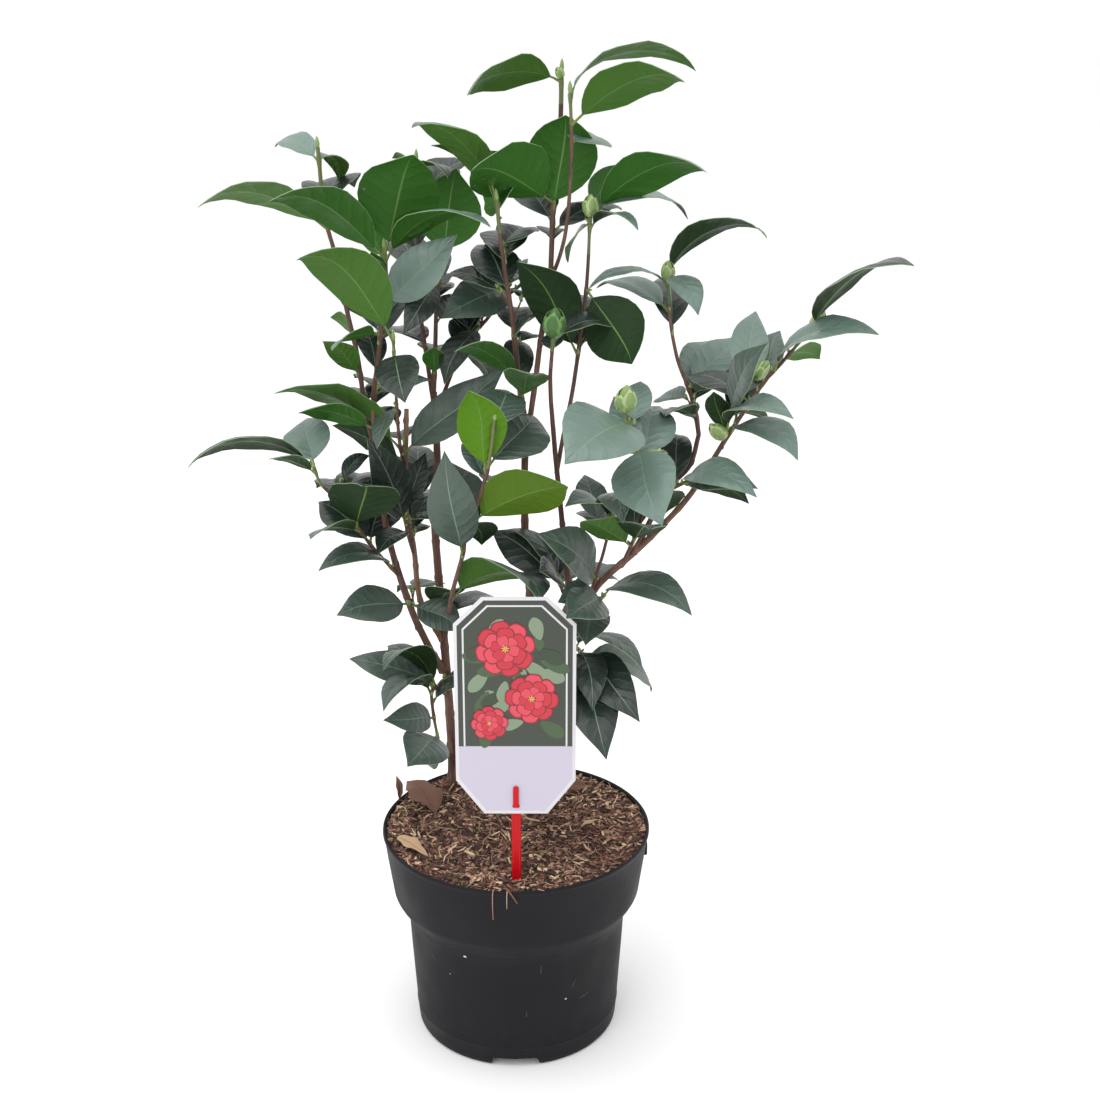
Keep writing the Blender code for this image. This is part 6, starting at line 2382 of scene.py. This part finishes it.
    def build(self, foliage: Foliage) -> None:
        """Builds the compost and all that lies on it.

        Args:
            foliage: Lends its way of bending a leaf.
        """
        self.build_bed()
        skins = [brown.make() for brown in self.browns]
        self.build_fibres(skins)
        chip = bmesh.new()
        bmesh.ops.create_cube(chip, size=1.0)
        bevelled(chip, chip.edges[:], 0.18, 1)
        self.build_bits("compost_chips", chip, self.chip_size, self.chips, self.chip_mix, skins, 0.3)
        crumb = bmesh.new()
        bmesh.ops.create_icosphere(crumb, subdivisions=1, radius=0.5)
        self.build_bits("compost_crumbs", crumb, self.crumb_size, self.crumbs, self.crumb_mix, skins, 0.6)
        self.build_litter(foliage)
        self.build_trailers(skins)


# ---- label -------------------------------------------------------------------
@dataclass
class Label:
    """The eight-sided card with a plain flower print, and the red stick that carries it."""

    width: float = 77.0
    top: float = 348.5
    bottom: float = 198.5
    centre: float = 1.8
    back: float = -75.0
    thickness: float = 0.8
    corner: float = 18.0
    lower_corner: float = 24.0
    slot_width: float = 8.0
    slot_height: float = 3.0
    slot_middle: float = 204.5
    gap: float = 0.3
    stick_width: float = 6.0
    stick_thickness: float = 2.0
    stick_top: float = 218.5
    tongue_width: float = 0.6      # over the stick's
    tongue_thickness: float = 1.2
    stick_foot: float = 95.0
    picture_foot: float = 246.6
    border: float = 2.2
    strip: float = 3.2
    line: float = 1.1
    film: float = 0.009            # thickness of one layer of ink
    sunk: float = 0.02             # how far the ink goes into the card
    leaves: int = 36
    # right, up, size and turn of each printed flower, and the layer that it starts from
    flowers: tuple[tuple[float, float, float, float, int], ...] = (
        (-6.0, 314.0, 20.0, 12.0, 40), (10.5, 280.0, 18.0, 40.0, 54), (-16.5, 263.0, 12.5, 5.0, 68))
    # number, reach and width of the petals in each ring of a flower
    petals: tuple[tuple[int, float, float], ...] = ((8, 1.0, 0.74), (6, 0.76, 0.66), (6, 0.5, 0.44))
    inks: tuple[Ink, ...] = (
        Ink("card_white", (206, 203, 208)), Ink("card_band", (186, 180, 196)), Ink("ink_dark", (50, 58, 46)),
        Ink("ink_leaf", (60, 82, 50)), Ink("ink_leaf_pale", (120, 136, 110)), Ink("ink_red", (188, 34, 52)),
        Ink("ink_rose", (206, 62, 78)), Ink("ink_crimson", (128, 16, 34)), Ink("ink_gold", (210, 160, 80)),
        Ink("ink_leaf_deep", (44, 60, 40)))
    stick: Moulded = Moulded("stick_red", (186, 4, 14), (192, 16, 26), 0.34, 0.0, 0.1, 0.2)

    def octagon(self, inset: float, foot: Optional[float] = None) -> list[Pair]:
        """Lists the corners of the card's outline, drawn in by an inset.

        Args:
            inset: How far each side is drawn in.
            foot: Height of a straight foot in place of the lower corners.

        Returns:
            Right and up of each corner.
        """
        half, cut = self.width / 2 - inset, self.corner - inset * 0.41
        top = self.top - inset
        if foot is None:
            base, low_cut = self.bottom + inset, self.lower_corner - inset * 0.5
            made = [(-half, base + low_cut), (-half + self.corner - inset * 0.3, base),
                    (half - self.corner + inset * 0.3, base), (half, base + low_cut)]
        else:
            made = [(-half, foot), (half, foot)]
        return made + [(half, top - cut), (half - cut, top), (-half + cut, top), (-half, top - cut)]

    def layer(self, builder: Mesh, outline: Sequence[Pair], height: int, ink: int) -> None:
        """Prints a flat shape as a thin layer.

        Args:
            builder: The bmesh that it is added to.
            outline: Right and up of its corners.
            height: Number of layers it stands proud of the card.
            ink: Its material number.
        """
        face = self.back - self.thickness + self.sunk
        plate(builder, [(self.centre + x, face, z) for x, z in outline], height * self.film + self.sunk, ink)

    def petal(self, centre: Pair, turn: float, reach: float, width: float,
              notch: float = 0.0) -> list[Pair]:
        """Draws a rounded petal or leaf from a centre.

        Args:
            centre: Right and up of its foot.
            turn: Its direction, in degrees.
            reach: Its length.
            width: Its breadth.
            notch: Depth of the notch in its tip; below 0, length of a point.

        Returns:
            Right and up of its corners.
        """
        along = (math.cos(math.radians(turn)), math.sin(math.radians(turn)))
        made = []
        for step in range(18):
            angle = 2 * math.pi * step / 18
            far = reach * (0.5 - 0.5 * math.cos(angle))
            side = 0.5 * width * math.sin(angle) * (0.55 + 0.6 * far / reach)
            far -= notch * math.exp(-((step - 9) / 1.2) ** 2)
            made.append((centre[0] + along[0] * far - along[1] * side,
                         centre[1] + along[1] * far + along[0] * side))
        return made

    def flower(self, builder: Mesh, centre: Pair, size: float, turn: float, level: int) -> None:
        """Prints one full flower: rings of rounded petals, each with its shade, round a gold boss.

        Args:
            builder: The bmesh that it is added to.
            centre: Right and up of its middle.
            size: Its radius.
            turn: Its turn, in degrees.
            level: The layer that it starts from.
        """
        dark, gold = 7, 8
        for ring, (petals, reach, width) in enumerate(self.petals):
            for number in sorted(range(petals), key=lambda each: each % 2):
                angle = turn + 17 * ring + 360 / petals * number
                height = level + 4 * ring + 2 * (number % 2)
                shade = self.petal(centre, angle, size * reach, size * width, size * 0.05)
                self.layer(builder, shade, height, dark)
                face = self.petal(centre, angle, size * reach * 0.95, size * width * 0.86, size * 0.04)
                self.layer(builder, face, height + 1, 5 if (number // 2 + ring) % 2 else 6)
        top = level + 12
        eye = self.petal((centre[0] - size * 0.15, centre[1]), 0, size * 0.3, size * 0.3)
        self.layer(builder, eye, top, dark)
        for number in range(7):
            angle = turn + 360 / 7 * number
            self.layer(builder, self.petal(centre, angle, size * 0.13, size * 0.05), top + 1, gold)

    def build_print(self, skins: list[Material]) -> None:
        """Builds the printed face: borders, a dark ground with leaves, and three full flowers.

        Args:
            skins: The inks.
        """
        builder = bmesh.new()
        inner = self.border + self.strip
        self.layer(builder, self.octagon(self.border, self.picture_foot), 1, 2)
        self.layer(builder, self.octagon(inner, self.picture_foot + 0.1), 2, 0)
        self.layer(builder, self.octagon(inner + self.line, self.picture_foot + 0.2), 3, 2)
        chance = random.Random("print")
        for number in range(self.leaves):
            spot = (-17 + 11 * (number % 4), 264 + 7 * (number // 4))
            turn, reach, width = chance.uniform(0, 360), chance.uniform(13, 19), chance.uniform(8, 11)
            self.layer(builder, self.petal(spot, turn, reach, width, -1.0), 4 + number, (3, 9, 4)[number % 3])
        for right, up, size, turn, level in self.flowers:
            self.flower(builder, (right, up), size, turn, level)
        low = [corner for corner in self.octagon(self.border) if corner[1] < self.picture_foot]
        low = low[-1:] + [(low[-1][0], self.picture_foot), (low[0][0], self.picture_foot)] + low[:-1]
        self.layer(builder, low, 1, 1)
        deliver(finished("label_print", builder, skins), "card")

    def build_card(self, skins: list[Material]) -> None:
        """Builds the card with its rounded edges and its slot.

        Args:
            skins: The inks, of which the first is bare card.
        """
        builder = bmesh.new()
        plate(builder, [(self.centre + x, self.back, z) for x, z in self.octagon(0.0)], self.thickness)
        bevelled(builder, builder.edges[:], 0.2, 2)
        card = finished("label_card_body", builder, skins[:1])
        cutter = bmesh.new()
        half, tall = self.slot_width / 2, self.slot_height / 2
        box(cutter, (self.centre - half, self.back - 5, self.slot_middle - tall),
            (self.centre + half, self.back + 5, self.slot_middle + tall))
        carve(card, finished("slot_cutter", cutter, []))
        deliver(card, "card", "label_card")

    def build_stick(self) -> None:
        """Builds the stick, whose tongue comes through the card's slot, with two long ribs."""
        front, back = self.back + self.gap, self.back + self.gap + self.stick_thickness
        tongue = self.back - self.thickness - self.gap
        tall = self.slot_height / 2 - self.gap
        low, high = self.slot_middle - tall, self.slot_middle + tall
        face, top = tongue - self.tongue_thickness, self.stick_top
        outline = [(front, self.stick_foot), (back, self.stick_foot + 8), (back, high), (tongue, high),
                   (tongue, top), (face, top), (face, low), (front, low)]
        builder = bmesh.new()
        left = self.centre - self.stick_width / 2
        pushed_out(builder, [(left, y, z) for y, z in outline], (self.stick_width, 0, 0))
        for vert in builder.verts:
            if vert.co.y < front - 0.1:
                vert.co.x = self.centre + (vert.co.x - self.centre) * self.tongue_width
        corners = [edge for edge in builder.edges if min(vert.co.z for vert in edge.verts) > top - 1
                   and abs(edge.verts[0].co.x - edge.verts[1].co.x) < 0.01
                   and abs(edge.verts[0].co.z - edge.verts[1].co.z) < 0.01]
        bevelled(builder, corners, 1.5, 4)
        bmesh.ops.recalc_face_normals(builder, faces=builder.faces)
        bevelled(builder, builder.edges[:], 0.28, 2)
        for side in (-1, 1):
            middle = self.centre + side * self.stick_width * 0.34
            made = box(builder, (middle - 0.45, front - 0.35, self.stick_foot + 12),
                       (middle + 0.45, front + 0.4, low - 4))
            bevelled(builder, list({edge for vert in made for edge in vert.link_edges}), 0.2, 2)
        deliver(finished("label_stick_body", builder, [self.stick.make()]), "stick", "label_stick")

    def build(self) -> None:
        """Builds the card, its print and its stick."""
        skins = [ink.make() for ink in self.inks]
        self.build_card(skins)
        self.build_print(skins)
        self.build_stick()


# ---- stage -------------------------------------------------------------------
@dataclass(frozen=True)
class Lamp:
    """A soft square light: where it stands, what it is aimed at, its size and its power."""

    name: str
    place: Point
    target: Point
    size: float
    power: float

    def build(self) -> None:
        """Sets up the light."""
        data = bpy.data.lights.new(self.name, "AREA")
        data.shape, data.size, data.energy = "SQUARE", self.size, self.power
        made = bpy.data.objects.new(self.name, data)
        made.location = self.place
        made.rotation_euler = (Vector(self.target) - Vector(self.place)).to_track_quat("-Z", "Y").to_euler()
        bpy.context.scene.collection.objects.link(made)


@dataclass
class Studio:
    """The pale floor, the soft light and the camera."""

    floor_colour: Colour = (247, 247, 247)
    floor_size: float = 60.0
    sky: float = 1.1
    lamps: tuple[Lamp, ...] = (
        Lamp("light_above", (-0.3, -0.2, 2.6), (0.0, 0.0, 0.3), 2.4, 30.0),
        Lamp("light_front", (-1.3, -2.4, 1.9), (0.0, 0.0, 0.3), 1.8, 16.0))
    camera_pitch: float = 18.86
    camera_lens: float = 52.2
    camera_sensor: float = 36.0
    camera_view: Span = (0.01, 200.0)

    def build(self) -> None:
        """Sets up floor, sky, lights and camera."""
        scene = bpy.context.scene
        scene.view_settings.view_transform = "Standard"
        builder = bmesh.new()
        bmesh.ops.create_grid(builder, x_segments=1, y_segments=1, size=self.floor_size / 2 / MM)
        graph = Graph("floor")
        grain = graph.speckle(30.0)
        matt = graph.shade(Base_Color=linear(*self.floor_colour), Roughness=graph.spread(grain, 0.85, 0.95))
        floor = finished("floor", builder, [matt])
        world = bpy.data.worlds.new("sky")
        world.use_nodes = True
        light = world.node_tree.nodes["Background"]
        light.inputs["Color"].default_value = (1.0, 1.0, 1.0, 1.0)
        light.inputs["Strength"].default_value = self.sky
        scene.world = world
        for lamp in self.lamps:
            lamp.build()
        data = bpy.data.cameras.new("camera")
        data.lens, data.sensor_width = self.camera_lens, self.camera_sensor
        data.clip_start, data.clip_end = self.camera_view
        camera = bpy.data.objects.new("camera", data)
        camera.location = Vector(EYE) * MM
        camera.rotation_euler = (math.radians(90 - self.camera_pitch), 0.0, 0.0)
        scene.collection.objects.link(camera)
        scene.camera = camera


def main() -> None:
    """Dresses the shrub, its pot and its label over the fixed solids."""
    logging.basicConfig(level=logging.INFO, format="%(name)s: %(message)s", stream=sys.stdout)
    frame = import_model()
    Studio().build()
    foliage = Foliage()
    growths = grow_all(frame["nodes"], FineGrowth())
    Wood().build()
    foliage.build(growths)
    pot = Pot()
    pot.build()
    PotMarks(pot).build()
    Compost(pot, tuple(limb.route[0] for limb in LIMBS if limb.parent is None)).build(foliage)
    Label().build()


if __name__ == "__main__":
    main()
